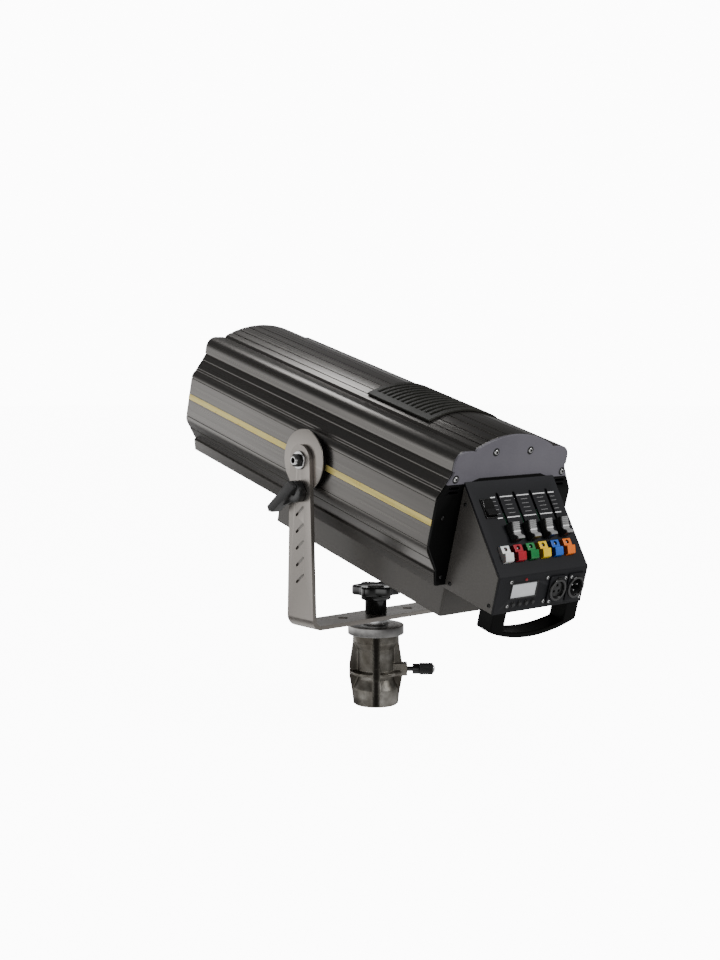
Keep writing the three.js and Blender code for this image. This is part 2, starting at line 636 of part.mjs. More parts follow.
function controlPanel() {
  const outer = boxOutline(0, BOX_BOTTOM);
  const inner = boxOutline(SHEET, BOX_BOTTOM);
  const section = polygon([outer[0], outer[1], outer[2], inner[2], inner[1], inner[0]]);
  const sheet = extrudeX(section, -BOX_HALF_WIDTH, BOX_HALF_WIDTH);
  const cut = [];
  for (let i = 0; i < FADER.count; i += 1) {
    const half = FADER_SLOT.width / 2;
    const low = -FADER.park - FADER_SLOT.margin;
    const high = -FADER.park + FADER.travel + FADER_SLOT.margin;
    cut.push(inSlope(window(faderX(i), (low + high) / 2, half, (high - low) / 2)));
  }
  for (let i = 0; i < KEY.count; i += 1) {
    const x = KEY.firstX + i * KEY.pitch;
    cut.push(inSlope(window(x, -KEY.down, KEY.width / 2 + GAP, KEY.length / 2 + GAP)));
  }
  const tilting = 0.9; // room for the rocker's ends to swing
  cut.push(inSlope(window(ROCKER.x, -ROCKER.down, ROCKER.width / 2 + GAP, ROCKER.length / 2 + tilting)));
  for (let i = 0; i < MENU.count; i += 1) {
    const hole = rod(MENU.radius + GAP, -6, 6, 'z', 12);
    cut.push(inFace(hole.translate(MENU.firstX + i * MENU.pitch, MENU.z, 0)));
  }
  cut.push(inFace(window(DISPLAY.x, DISPLAY.z, DISPLAY.width / 2 + GAP, DISPLAY.height / 2 + GAP)));
  for (const x of XLR.x) {
    cut.push(inFace(rod(XLR.barrel + GAP, -6, 6, 'z', 20).translate(x, XLR.z, 0)));
  }
  return carve([sheet], cut);
}

// bottom edge of the handle: a shallow arc through both corners and the lowest point
function sagging(half, corner, lowest, steps) {
  const sag = corner - lowest;
  const radius = (half * half + sag * sag) / (2 * sag);
  const spread = THREE.MathUtils.radToDeg(Math.asin(half / radius));
  return arc(0, lowest + radius, radius, 270 - spread, 270 + spread, steps);
}

// loop that is open upwards: the underside of the box closes it
function handle() {
  const top = BOX_BOTTOM - GAP;
  const { depth, outerHalf, corner, lowest, innerHalf, innerCorner, innerLowest } = HANDLE;
  const loop = polygon([
    [-outerHalf, top], ...sagging(outerHalf, corner, lowest, 10), [outerHalf, top],
    [innerHalf, top], ...sagging(innerHalf, innerCorner, innerLowest, 8).reverse(), [-innerHalf, top],
  ]);
  return extrudeY(loop, BOX_REAR, BOX_REAR + depth);
}

part(headFrame, 'control_box', controlBox(), MATERIAL.taupe);
part(headFrame, 'control_panel', controlPanel(), MATERIAL.panel);
part(headFrame, 'rear_handle', handle(), MATERIAL.panel);

// ---------------------------------------------------------------- controls
function faderKnob() {
  const half = FADER.length / 2;
  const side = polygon([
    [-half, 0.8], [half, 0.8], [half, 9.5], [half - 2, 12], [half - 4, 12], [1.5, 8.2], [0, 8.8],
    [-1.5, 8.2], [4 - half, 12], [2 - half, 12], [-half, 9.5],
  ]);
  const cap = extrudeX(side, -FADER.width / 2, FADER.width / 2);
  const stem = block([-1.2, 1.2], [-3.5, 3.5], [-12, 2]);
  return carve([cap, stem]);
}

function colourKey() {
  const half = KEY.length / 2;
  const side = polygon([
    [-half, -6], [half, -6], [half, 4.2], [0.6, 4.2], [-0.4, 7.8], [1 - half, 5], [-half, 4],
  ]);
  const cap = extrudeX(side, -KEY.width / 2, KEY.width / 2);
  const ledHole = rod(1.8, 1.5, 6, 'z', 12).translate(0, 4.8, 0);
  return carve([cap], [ledHole]);
}

function lampRocker() {
  const half = ROCKER.length / 2;
  const side = polygon([[-half, -4], [half, -4], [half, 4], [0, 1.6], [-half, 4]]);
  const body = extrudeX(side, -ROCKER.width / 2, ROCKER.width / 2);
  return body;
}

for (let i = 0; i < FADER.count; i += 1) {
  part(slopeFrame, `fader_${i + 1}`, faderKnob(), MATERIAL.fader, [faderX(i), -FADER.park, 0]);
}
Object.entries(KEY_COLOURS).forEach(([name, colour], i) => {
  const x = KEY.firstX + i * KEY.pitch;
  part(slopeFrame, `colour_key_${name}`, colourKey(), paint(colour, 0.45, 0), [x, -KEY.down, 0]);
});
const lamp = part(slopeFrame, 'lamp_rocker', lampRocker(), MATERIAL.plastic, [ROCKER.x, -ROCKER.down, 0]);
lamp.rotation.x = -ROCKER.swing;

function menuButton() {
  return rod(MENU.radius, -6, 1.4, 'z', 12);
}

function displayUnit() {
  const half = [DISPLAY.width / 2, DISPLAY.height / 2];
  return block([-half[0], half[0]], [-half[1], half[1]], [-7, -0.4]);
}

function xlrFlange() {
  const [w, h] = XLR.flange;
  return block([-w / 2, w / 2], [-h / 2, h / 2], [GAP, 2.2]);
}

function xlrFemale() {
  const barrel = rod(XLR.barrel, -14, 3.6, 'z', 20);
  const cut = [turned([[8, 1.6], [9.4, 1.6], [9.4, 5], [8, 5], [8, 1.6]], 'z', 20)];
  for (const angle of [-30, 90, 210]) {
    const a = THREE.MathUtils.degToRad(angle);
    cut.push(rod(1.5, -8, 6, 'z', 8).translate(4.4 * Math.cos(a), 4.4 * Math.sin(a), 0));
  }
  return carve([xlrFlange(), barrel], cut);
}

function xlrMale() {
  const barrel = rod(XLR.barrel, -14, 3.6, 'z', 20);
  const body = carve([xlrFlange(), barrel], [rod(9.3, -10, 6, 'z', 20)]);
  const pins = [body];
  for (const angle of [30, 150, 270]) {
    const a = THREE.MathUtils.degToRad(angle);
    pins.push(rod(1.2, -11, 1, 'z', 8).translate(4.4 * Math.cos(a), 4.4 * Math.sin(a), 0));
  }
  return carve(pins);
}

// mains inlet, facing +X: flange outside the tray's wall, shell with three blades inside it
function powerInlet() {
  const { y, z, halfLength, halfHeight, flange, depth } = INLET;
  const x = TRAY.halfWidth + GAP;
  const around = (halfY, halfZ, x0, x1) => block([x0, x1], [y - halfY, y + halfY], [z - halfZ, z + halfZ]);
  const plate = around(flange[0], flange[1], x, x + 2);
  const body = around(halfLength, halfHeight, x - depth, x + 1);
  const wall = 1.95;
  const socket = around(halfLength - wall, halfHeight - wall, x - depth + 4, x + 3);
  const keep = [carve([plate, body], [socket])];
  for (const [across, up] of [[-7, -2], [0, 2], [7, -2]]) {
    const blade = block([x - depth + 3, x - 2], [-0.8, 0.8], [-2, 2]);
    keep.push(blade.translate(0, y + across, z + up));
  }
  return carve(keep);
}

for (let i = 0; i < MENU.count; i += 1) {
  part(faceFrame, `menu_button_${i + 1}`, menuButton(), MATERIAL.plastic,
    [MENU.firstX + i * MENU.pitch, MENU.z, 0]);
}
part(faceFrame, 'display_unit', displayUnit(), MATERIAL.screen, [DISPLAY.x, DISPLAY.z, 0]);
part(faceFrame, 'xlr_female', xlrFemale(), MATERIAL.plastic, [XLR.x[0], XLR.z, 0]);
part(faceFrame, 'xlr_male', xlrMale(), MATERIAL.plastic, [XLR.x[1], XLR.z, 0]);
part(headFrame, 'power_inlet', powerInlet(), MATERIAL.plastic);

// ---------------------------------------------------------------- light engine, rear to front
function fanFrame() {
  const half = FAN.size / 2;
  const y = [FAN.rear, FAN.rear + FAN.depth];
  const square = block([-half, half], y, [-half, half]);
  const throat = rod(half - 3, y[0] - 1, y[1] + 1, 'y', 28);
  const ring = carve([square], [throat]);
  const keep = [ring, rod(15, y[0], y[0] + 3, 'y', 20)];
  for (let i = 0; i < 3; i += 1) {
    const strut = block([-3, 3], [y[0], y[0] + 3], [10, half - 1]);
    keep.push(strut.rotateY((i * Math.PI * 2) / 3 + 0.4));
  }
  return carve(keep);
}

function fanRotor() {
  const start = FAN.rear + 3 + GAP;
  const keep = [rod(15, start, start + 14, 'y', 20)];
  for (let i = 0; i < 7; i += 1) {
    const blade = block([-9, 9], [-0.8, 0.8], [13, FAN.size / 2 - 5]);
    blade.rotateZ(0.6).translate(0, start + 7, 0).rotateY((i * Math.PI * 2) / 7);
    keep.push(blade);
  }
  return carve(keep);
}

function heatsink() {
  const half = HEATSINK.width / 2;
  const base = HEATSINK.front - 9;
  const pitch = (HEATSINK.width - 3) / (HEATSINK.fins - 1);
  const outline = [[half, HEATSINK.front], [-half, HEATSINK.front]];
  for (let i = 0; i < HEATSINK.fins; i += 1) {
    const x = -half + i * pitch;
    outline.push([x, i ? base : HEATSINK.rear]);
    if (i) outline.push([x, HEATSINK.rear]);
    outline.push([x + 3, HEATSINK.rear], [x + 3, base]);
  }
  outline.pop();
  const z = HEATSINK.height / 2;
  return extrudeZ(polygon(outline), -z, z);
}

function ledModule() {
  const rear = HEATSINK.front + GAP;
  const plate = block([-26, 26], [rear, LED_FRONT], [-26, 26]);
  const emitter = rod(12, LED_FRONT - 0.5, LED_FRONT + 1.5, 'y', 24);
  return carve([plate, emitter]);
}

// lens with a flat or curved rear and a domed front, on the beam axis
function lens(radius, rear, edge, dome, rearDome = 0) {
  const profile = [];
  const steps = 4;
  for (let i = 0; i <= steps; i += 1) {
    const r = (radius * i) / steps;
    profile.push([r, rear - rearDome * (1 - (r / radius) ** 2)]);
  }
  for (let i = 0; i <= steps; i += 1) {
    const r = radius * (1 - i / steps);
    profile.push([r, rear + edge + dome * (1 - (r / radius) ** 2)]);
  }
  return turned(profile, 'y', 32);
}

function colourWheel() {
  const disc = turned([[3.2, -1], [WHEEL.radius, -1], [WHEEL.radius, 1], [3.2, 1], [3.2, -1]], 'y', 32);
  const cut = [];
  const reach = OPTIC_Z - WHEEL.z;
  for (let i = 0; i < WHEEL.filters; i += 1) {
    const angle = (i * Math.PI * 2) / WHEEL.filters;
    const hole = rod(WHEEL.filterRadius, -2, 2, 'y', 12);
    cut.push(hole.translate(reach * Math.sin(angle), 0, reach * Math.cos(angle)));
  }
  return carve([disc], cut);
}

function wheelMotor() {
  const can = block([-14, 14], [GATE.front + GAP, GATE.front + 32], [-14, 14]);
  const shaft = block([-1.9, 1.9], [WHEEL.y - 3, GATE.front + 2], [-1.9, 1.9]);
  return carve([can, shaft]);
}

function gatePlate() {
  const sheet = extrudeY(casingOutline(WALL + 0.5, LID_TOP + GAP), GATE.rear, GATE.front);
  const beam = rod(GATE.aperture, GATE.rear - 1, GATE.front + 1, 'y', 24).translate(0, 0, OPTIC_Z);
  const shaft = rod(4, GATE.rear - 1, GATE.front + 1, 'y', 12).translate(0, 0, WHEEL.z);
  return carve([sheet], [beam, shaft]);
}

function irisUnit() {
  const y = [GATE.front + GAP, GATE.front + 9];
  const ring = turned([[13, y[0]], [25, y[0]], [25, y[1]], [13, y[1]], [13, y[0]]], 'y', 28);
  const lever = block([-3, 3], [y[0] + 2, y[0] + 5], [20, 44]).rotateY(0.9);
  return carve([ring, lever]);
}

function guideRod() {
  return rod(ROD.radius, GATE.front + GAP, FRONT_PLATE.rear - GAP, 'y', 12);
}

function lensCarriage() {
  const y = [CARRIAGE.y, CARRIAGE.y + 6];
  const ring = rod(CARRIAGE.lensRadius + 6, y[0], y[1], 'y', 28);
  const bar = block([-84, 84], y, [-11, 11]);
  const bore = rod(CARRIAGE.lensRadius + 2 * GAP, y[0] - 1, y[1] + 1, 'y', 32);
  const keep = [ring, bar];
  const cut = [bore];
  for (const sign of [-1, 1]) {
    keep.push(rod(8, y[0] - 6, y[1] + 6, 'y', 16).translate(sign * ROD.x, 0, 0));
    cut.push(rod(ROD.radius + GAP, y[0] - 8, y[1] + 8, 'y', 12).translate(sign * ROD.x, 0, 0));
  }
  return carve(keep, cut);
}

function powerSupply() {
  return block(SUPPLY.x, SUPPLY.y, [TRAY.bottom + TRAY.wall + GAP, SUPPLY.top]);
}

function controlBoard() {
  const { halfWidth, down, under } = BOARD;
  return block([-halfWidth, halfWidth], [-down[1], -down[0]], under);
}

part(headFrame, 'fan_frame', fanFrame(), MATERIAL.plastic);
part(headFrame, 'fan_rotor', fanRotor(), MATERIAL.plastic);
part(headFrame, 'heatsink', heatsink(), MATERIAL.aluminium, [0, 0, OPTIC_Z]);
part(headFrame, 'led_module', ledModule(), MATERIAL.lamp, [0, 0, OPTIC_Z]);
part(headFrame, 'condenser_lens', lens(CONDENSER.radius, CONDENSER.rear, 4, 12), MATERIAL.glass,
  [0, 0, OPTIC_Z]);
part(headFrame, 'colour_wheel', colourWheel(), MATERIAL.aluminium, [0, WHEEL.y, WHEEL.z]);
part(headFrame, 'wheel_motor', wheelMotor(), MATERIAL.plastic, [0, 0, WHEEL.z]);
part(headFrame, 'gate_plate', gatePlate(), MATERIAL.aluminium);
part(headFrame, 'iris_unit', irisUnit(), MATERIAL.plastic, [0, 0, OPTIC_Z]);
for (const [side, sign] of [['right', 1], ['left', -1]]) {
  part(headFrame, `guide_rod_${side}`, guideRod(), MATERIAL.steel, [sign * ROD.x, 0, OPTIC_Z]);
}
part(headFrame, 'lens_carriage', lensCarriage(), MATERIAL.aluminium, [0, 0, OPTIC_Z]);
part(headFrame, 'zoom_lens', lens(CARRIAGE.lensRadius, CARRIAGE.y, 5, 7, 7), MATERIAL.glass,
  [0, 0, OPTIC_Z]);
part(headFrame, 'front_lens', lens(FRONT_PLATE.aperture - 0.6, FRONT_PLATE.rear - 2, 6, 3, 12),
  MATERIAL.glass, [0, 0, OPTIC_Z]);
part(headFrame, 'power_supply', powerSupply(), MATERIAL.aluminium);
part(slopeFrame, 'control_board', controlBoard(), MATERIAL.board);

export default followSpot;
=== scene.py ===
import math

import bmesh
import bpy
from mathutils import Matrix, Vector
from mathutils.geometry import tessellate_polygon


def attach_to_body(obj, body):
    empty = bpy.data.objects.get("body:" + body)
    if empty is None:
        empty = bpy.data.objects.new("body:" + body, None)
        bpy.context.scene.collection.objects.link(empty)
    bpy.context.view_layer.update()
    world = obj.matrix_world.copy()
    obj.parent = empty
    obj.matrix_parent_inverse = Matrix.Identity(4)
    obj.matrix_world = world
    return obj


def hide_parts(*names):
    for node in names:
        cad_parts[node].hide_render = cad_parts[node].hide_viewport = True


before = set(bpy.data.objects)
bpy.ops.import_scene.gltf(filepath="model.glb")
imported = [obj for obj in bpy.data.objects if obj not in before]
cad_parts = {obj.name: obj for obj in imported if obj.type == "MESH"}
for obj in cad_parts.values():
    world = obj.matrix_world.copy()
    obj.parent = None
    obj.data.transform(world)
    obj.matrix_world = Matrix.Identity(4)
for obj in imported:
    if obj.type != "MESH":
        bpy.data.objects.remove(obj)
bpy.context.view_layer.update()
scene = bpy.context.scene

# ---------------- dimensions shared with the CAD
MM = 0.001
GAP = 0.3
PITCH = 15
CASTING_TURN = -40
PIVOT_Z = 293.7
PIVOT_ABOVE_BAR = 186
BODY_FRONT = 249
BODY_REAR = -208
WALL = 2.5
CROWN_RADIUS = 122
CROWN_TOP = 92.5
CROWN_HALF = 56
SHOULDER_X = 84.5
SHOULDER_Z = 76.5
SHOULDER_RADIUS = 12.5
SEAM_Z = 55.6
PANEL_X = 99.5
PANEL_TOP = 26.4
PANEL_BOTTOM = -26
NOTCH = (83, -52.5)
SKIRT_X = 79
SKIRT_BOTTOM = -70
STRIPE_HEIGHT = 7.6
STRIPE_Z = 0.5
STRIPE_DEPTH = 0.8
TRAY_HALF = 60
TRAY_BOTTOM = -109
TRAY_FRONT = 89
LID_TOP = -65.2
OPTIC_Z = 10
PLATE = 3
PLATE_LOW = 41.6
PLATE_NOTCH = [(62, 41.6), (46, 46.8), (-46, 46.8), (-62, 41.6)]
VENT_Y = [-119.6 + 7.9 * i for i in range(12)]
VENT_SLOT = 4.4
BOX_HALF = 66.5
BOX_FRONT = -211.6
BOX_REAR = -286
BOX_TOP = 44
BOX_KNEE = -33
BOX_BOTTOM = -73.5
BOX_WALL = 2
SHEET = 2.5
SLOPE_ANGLE = math.degrees(math.atan2(BOX_TOP - BOX_KNEE, BOX_FRONT - BOX_REAR))
YOKE_WIDTH = 226
YOKE_THICKNESS = 5
BAR_WIDTH = 45
ARM_WIDTH = 47
ARM_TOP_RADIUS = 17.5
BEND_RADIUS = 13
WING_DROP = 35
WING_DROOP = 38
DISC_RADIUS = 35
PIVOT_RADIUS = 4.8
CASTING_HEIGHT = 94.5
LOCK_HEIGHT = 41

# controls: across the panel by x, down the slope from its top edge, or by z on the upright face
FADER_X = [-27.6 + 24.8 * i for i in range(4)]
FADER_PARK = 61.3
FADER_TRAVEL = 42
KEY_X = [-48.6 + 18.6 * i for i in range(6)]
KEY_DOWN = 83.4
KEY_SIZE = (13.2, 17.4)
ROCKER_X = -47
ROCKER_DOWN = 31.5
ROCKER_SIZE = (14.4, 17.6)
ROCKER_SWING = 8
MENU_X = [-40.1 + 9.8 * i for i in range(4)]
MENU_Z = -64.6
DISPLAY_AT = (-27.2, -50)
DISPLAY_SIZE = (37, 15.6)
XLR_X = (22, 50.4)
XLR_Z = -54.2
XLR_PIN_CIRCLE = 4.4

# ---------------- frames and directions
def turned(axis, degrees):
    return Matrix.Rotation(math.radians(degrees), 4, axis)


def moved(x=0, y=0, z=0):
    return Matrix.Translation((x, y, z))


HEAD = moved(z=PIVOT_Z * MM) @ turned("X", PITCH)
YOKE = moved(z=PIVOT_Z * MM)
STAND = turned("Z", CASTING_TURN)

# places inside a frame, in millimetres: where a piece's own z points
UP = Matrix.Identity(4)
REARWARD = turned("X", 90)
FORWARD = turned("X", -90)
RIGHTWARD = Matrix(((0, 0, 1, 0), (1, 0, 0, 0), (0, 1, 0, 0), (0, 0, 0, 1)))
LEFTWARD = turned("Z", 180) @ RIGHTWARD
SLOPE = moved(0, BOX_FRONT, BOX_TOP) @ turned("X", SLOPE_ANGLE)
FACE = moved(0, BOX_REAR, 0) @ REARWARD
REAR_SKIN = moved(0, BODY_REAR - GAP - PLATE, 0) @ REARWARD
BEAM = moved(0, 0, OPTIC_Z) @ FORWARD
LOCK = moved(0, 0, LOCK_HEIGHT) @ RIGHTWARD


# ---------------- outlines
def arc(cx, cy, radius, start, end, steps):
    points = []
    for i in range(steps + 1):
        angle = math.radians(start + (end - start) * i / steps)
        points.append((cx + radius * math.cos(angle), cy + radius * math.sin(angle)))
    return points


def circle(radius, steps=32, centre=(0, 0)):
    return arc(centre[0], centre[1], radius, 0, 360 - 360 / steps, steps - 1)


def box_outline(half_width, half_height, radius=0.0, centre=(0, 0)):
    corners = [(-1, -1), (1, -1), (1, 1), (-1, 1)]
    points = [(centre[0] + a * half_width, centre[1] + b * half_height) for a, b in corners]
    return fillet(points, radius) if radius else points


def fillet(points, radius, steps=5):
    """Rounds the corners of a closed outline; radius is one number, or one for each corner."""
    result = []
    count = len(points)
    for i, corner in enumerate(points):
        wanted = radius[i] if isinstance(radius, (list, tuple)) else radius
        here = Vector(corner)
        back = Vector(points[i - 1]) - here
        ahead = Vector(points[(i + 1) % count]) - here
        angle = back.angle(ahead)
        if wanted <= 0 or angle > math.radians(176):
            result.append(tuple(corner))
            continue
        reach = min(wanted / math.tan(angle / 2), 0.48 * back.length, 0.48 * ahead.length)
        actual = reach * math.tan(angle / 2)
        middle = back.normalized() + ahead.normalized()
        centre = here + middle.normalized() * (actual / math.sin(angle / 2))
        first = here + back.normalized() * reach - centre
        last = here + ahead.normalized() * reach - centre
        start = math.atan2(first.y, first.x)
        sweep = (math.atan2(last.y, last.x) - start + math.pi) % (2 * math.pi) - math.pi
        for k in range(steps + 1):
            a = start + sweep * k / steps
            result.append((centre.x + actual * math.cos(a), centre.y + actual * math.sin(a)))
    return result


def signed_area(points):
    total = 0.0
    for (x0, y0), (x1, y1) in zip(points, points[1:] + points[:1]):
        total += x0 * y1 - x1 * y0
    return total / 2


def inset(points, distance):
    """Moves each corner of an outline to its left, by the mitre of its two edges."""
    result = []
    count = len(points)
    for i, (x, y) in enumerate(points):
        before = (Vector(points[i]) - Vector(points[i - 1])).normalized()
        after = (Vector(points[(i + 1) % count]) - Vector(points[i])).normalized()
        normals = Vector((-before.y - after.y, before.x + after.x))
        spread = max(1 + before.dot(after), 0.35)
        result.append((x + normals.x * distance / spread, y + normals.y * distance / spread))
    return result


def mirrored(points):
    return [(-x, z) for x, z in reversed(points)]


# ---------------- mesh building
def make(name, verts, faces, place=UP, base=HEAD, sharp=35):
    mesh = bpy.data.meshes.new(name)
    mesh.from_pydata([(place @ Vector(v)) * MM for v in verts], [], faces)
    work = bmesh.new()
    work.from_mesh(mesh)
    bmesh.ops.remove_doubles(work, verts=work.verts, dist=1e-7)
    bmesh.ops.recalc_face_normals(work, faces=work.faces)
    work.to_mesh(mesh)
    work.free()
    piece = bpy.data.objects.new(name, mesh)
    scene.collection.objects.link(piece)
    piece.matrix_world = base
    shade(piece, sharp)
    return piece


def shade(piece, sharp):
    piece.data.shade_smooth()
    if sharp:
        piece.data.set_sharp_from_angle(angle=math.radians(sharp))


def slab(name, loops, low, high, place=UP, base=HEAD, bevel=0.0, steps=3, sharp=35):
    """Flat body from low to high along its own z; loops is its outline and then its holes."""
    turned_loops = []
    for i, loop in enumerate(loops):
        loop = [tuple(p) for p in loop]
        if (signed_area(loop) > 0) != (i == 0):
            loop.reverse()
        turned_loops.append(loop)
    levels = [(0.0, low), (0.0, high)]
    if bevel:
        rise = [math.pi / 2 * k / steps for k in range(steps + 1)]
        foot = [(bevel * (1 - math.sin(t)), low + bevel * (1 - math.cos(t))) for t in rise]
        levels = foot + [(d, low + high - z) for d, z in reversed(foot)]
    verts = []
    faces = []
    total = sum(len(loop) for loop in turned_loops)
    for distance, z in levels:
        for loop in turned_loops:
            verts += [(x, y, z) for x, y in inset(loop, distance)]
    for level in range(len(levels) - 1):
        start = level * total
        for loop in turned_loops:
            count = len(loop)
            for i in range(count):
                j = (i + 1) % count
                faces.append((start + i, start + j, start + total + j, start + total + i))
            start += count
    if len(loops) == 1:
        faces.append(tuple(range(total)))
        faces.append(tuple(range(len(verts) - total, len(verts))))
    else:
        cap = tessellate_polygon(
            [[Vector((x, y, 0)) for x, y in inset(loop, levels[0][0])] for loop in turned_loops])
        last = len(verts) - total
        faces += [tuple(t) for t in cap]
        faces += [tuple(last + i for i in t) for t in cap]
    return make(name, verts, faces, place, base, sharp)


def skin(name, rings, place=UP, base=HEAD, closed=False, sharp=35):
    """Surface through rings of equally many points, capped at both ends or closed on itself."""
    count = len(rings[0])
    verts = [p for ring in rings for p in ring]
    faces = []
    spans = len(rings) if closed else len(rings) - 1
    for r in range(spans):
        a = r * count
        b = ((r + 1) % len(rings)) * count
        for i in range(count):
            j = (i + 1) % count
            faces.append((a + i, a + j, b + j, b + i))
    if not closed:
        faces.append(tuple(range(count)))
        faces.append(tuple(range(len(verts) - count, len(verts))))
    return make(name, verts, faces, place, base, sharp)


def lathe(name, profile, place=UP, base=HEAD, segments=48, closed=False, sharp=35):
    """Solid of revolution about its own z; profile is (radius, height) pairs."""
    rings = []
    for radius, height in profile:
        rings.append([(max(radius, 1e-4) * math.cos(2 * math.pi * i / segments),
                       max(radius, 1e-4) * math.sin(2 * math.pi * i / segments), height)
                      for i in range(segments)])
    return skin(name, rings, place, base, closed, sharp)


def ring(name, inner, outer, low, high, edge, place=UP, base=HEAD, segments=48):
    """Flat ring about its own z, its four edges rounded."""
    profile = fillet([(inner, low), (outer, low), (outer, high), (inner, high)], edge, 3)
    return lathe(name, profile, place, base, segments, closed=True)


def cutter(outline, low=-6, high=6, place=UP, base=HEAD):
    """Sharp-edged body, used only to cut with."""
    return slab("cutter", [outline], low, high, place, base)


def box_tool(x, y, z):
    return cutter([(x[0], y[0]), (x[1], y[0]), (x[1], y[1]), (x[0], y[1])], *z)


def rod_tool(radius, low, high, place, base=HEAD, segments=32):
    return cutter(circle(radius, segments), low, high, place, base)


def bake(piece):
    bpy.context.view_layer.update()
    graph = bpy.context.evaluated_depsgraph_get()
    piece.data = bpy.data.meshes.new_from_object(piece.evaluated_get(graph))
    piece.modifiers.clear()


def combine(piece, tools, operation="DIFFERENCE", sharp=35):
    """Cuts the tools from the piece, or joins them to it, and removes them."""
    for tool in tools:
        modifier = piece.modifiers.new(operation, "BOOLEAN")
        modifier.operation = operation
        modifier.solver = "EXACT"
        modifier.object = tool
    bake(piece)
    for tool in tools:
        bpy.data.objects.remove(tool)
    shade(piece, sharp)
    return piece


def soften(piece, width=0.5, segments=3, angle=38):
    """Rounds the edges sharper than the angle."""
    piece.data.shade_smooth()
    edges = piece.modifiers.new("edges", "BEVEL")
    edges.width = width * MM
    edges.segments = segments
    edges.limit_method = "ANGLE"
    edges.angle_limit = math.radians(angle)
    level_shading(piece)
    return piece


def level_shading(piece):
    shading = piece.modifiers.new("shading", "WEIGHTED_NORMAL")
    shading.keep_sharp = True
    return piece


def melt(piece, voxel, smoothing=4):
    """Blends overlapping bodies into one moulded or cast skin."""
    mesher = piece.modifiers.new("skin", "REMESH")
    mesher.mode = "VOXEL"
    mesher.voxel_size = voxel * MM
    relax = piece.modifiers.new("relax", "SMOOTH")
    relax.factor = 0.5
    relax.iterations = smoothing
    bake(piece)
    piece.data.shade_smooth()
    return piece


def join(pieces):
    """One object out of several."""
    first = pieces[0]
    work = bmesh.new()
    for piece in pieces:
        work.from_mesh(piece.data)
    work.to_mesh(first.data)
    work.free()
    for piece in pieces[1:]:
        bpy.data.objects.remove(piece)
    return first


def named(piece, name):
    piece.name = name
    return piece


def attach(piece, material, *nodes, body="head", slot=None):
    """Dresses a piece and lets it ride a body; it stands in for the CAD nodes named."""
    piece.data.materials.clear()
    piece.data.materials.append(material)
    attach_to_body(piece, body)
    if nodes:
        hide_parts(*nodes)
    own = material.name.partition(".")[0]
    slot = slot or SLOT_OF.get(own, own)
    return piece


# ---------------- materials
class Nodes:
    """Short names for the node calls the materials share."""

    def __init__(self, name):
        self.material = bpy.data.materials.new(name)
        self.material.use_nodes = True
        self.tree = self.material.node_tree
        self.shader = self.tree.nodes["Principled BSDF"]
        self.place = self.tree.nodes.new("ShaderNodeTexCoord").outputs["Object"]

    def add(self, kind, inputs=None, **settings):
        node = self.tree.nodes.new("ShaderNode" + kind)
        for key, value in settings.items():
            setattr(node, key, value)
        for key, value in (inputs or {}).items():
            self.feed(node.inputs[key], value)
        return node

    def feed(self, socket, value):
        if isinstance(value, bpy.types.NodeSocket):
            self.tree.links.new(value, socket)
        else:
            socket.default_value = value

    def noise(self, scale, detail=3.0, stretch=(1, 1, 1)):
        place = self.add("Mapping", {"Vector": self.place, "Scale": stretch}).outputs["Vector"]
        node = self.add("TexNoise", {"Vector": place, "Scale": scale, "Detail": detail,
                                     "Roughness": 0.55})
        return node.outputs["Fac"]

    def ramp(self, value, stops):
        node = self.add("ValToRGB", {"Fac": value})
        points = node.color_ramp.elements
        while len(points) < len(stops):
            points.new(0.5)
        for point, (position, colour) in zip(points, stops):
            point.position = position
            point.color = (*colour, 1)
        return node.outputs["Color"]

    def between(self, value, low, high, start=0.3, end=0.7):
        node = self.add("MapRange", {"Value": value, "From Min": start, "From Max": end,
                                     "To Min": low, "To Max": high})
        return node.outputs["Result"]

    def math(self, operation, a, b=0.0):
        return self.add("Math", {0: a, 1: b}, operation=operation).outputs["Value"]

    def mix(self, factor, a, b):
        node = self.add("Mix", data_type="RGBA")
        for key, value in (("Factor_Float", factor), ("A_Color", a), ("B_Color", b)):
            socket = next(s for s in node.inputs if s.identifier == key)
            if isinstance(value, tuple):
                value = (*value, 1)
            self.feed(socket, value)
        return next(s for s in node.outputs if s.identifier == "Result_Color")

    def bump(self, height, strength, depth):
        node = self.add("Bump", {"Height": height, "Strength": strength, "Distance": depth * MM})
        self.feed(self.shader.inputs["Normal"], node.outputs["Normal"])

    def finish(self, colour, roughness, metallic=0.0, **constants):
        self.feed(self.shader.inputs["Base Color"], colour)
        self.feed(self.shader.inputs["Roughness"], roughness)
        self.shader.inputs["Metallic"].default_value = metallic
        for key, value in constants.items():
            self.shader.inputs[key.replace("_", " ")].default_value = value
        return self.material


def grey(value, warmth=0.0):
    return (value * (1 + warmth), value, value * (1 - warmth))


def painted(name, dark, light, rough=(0.4, 0.55), metallic=0.0, **more):
    """Powder coat: fine orange-peel grain, faint clouding and slightly rubbed edges."""
    n = Nodes(name)
    cloud = n.noise(14, 5)
    grain = n.noise(900, 2)
    base = n.ramp(cloud, [(0.3, dark), (0.7, light)])
    rubbed = tuple(min(1.0, c * 1.9 + 0.03) for c in light)
    point = n.add("NewGeometry").outputs["Pointiness"]
    edge = n.between(point, 0.0, 0.25, 0.52, 0.6)
    colour = n.mix(edge, base, rubbed)
    n.bump(grain, 0.35, 0.05)
    return n.finish(colour, n.between(cloud, *rough), metallic, **more)


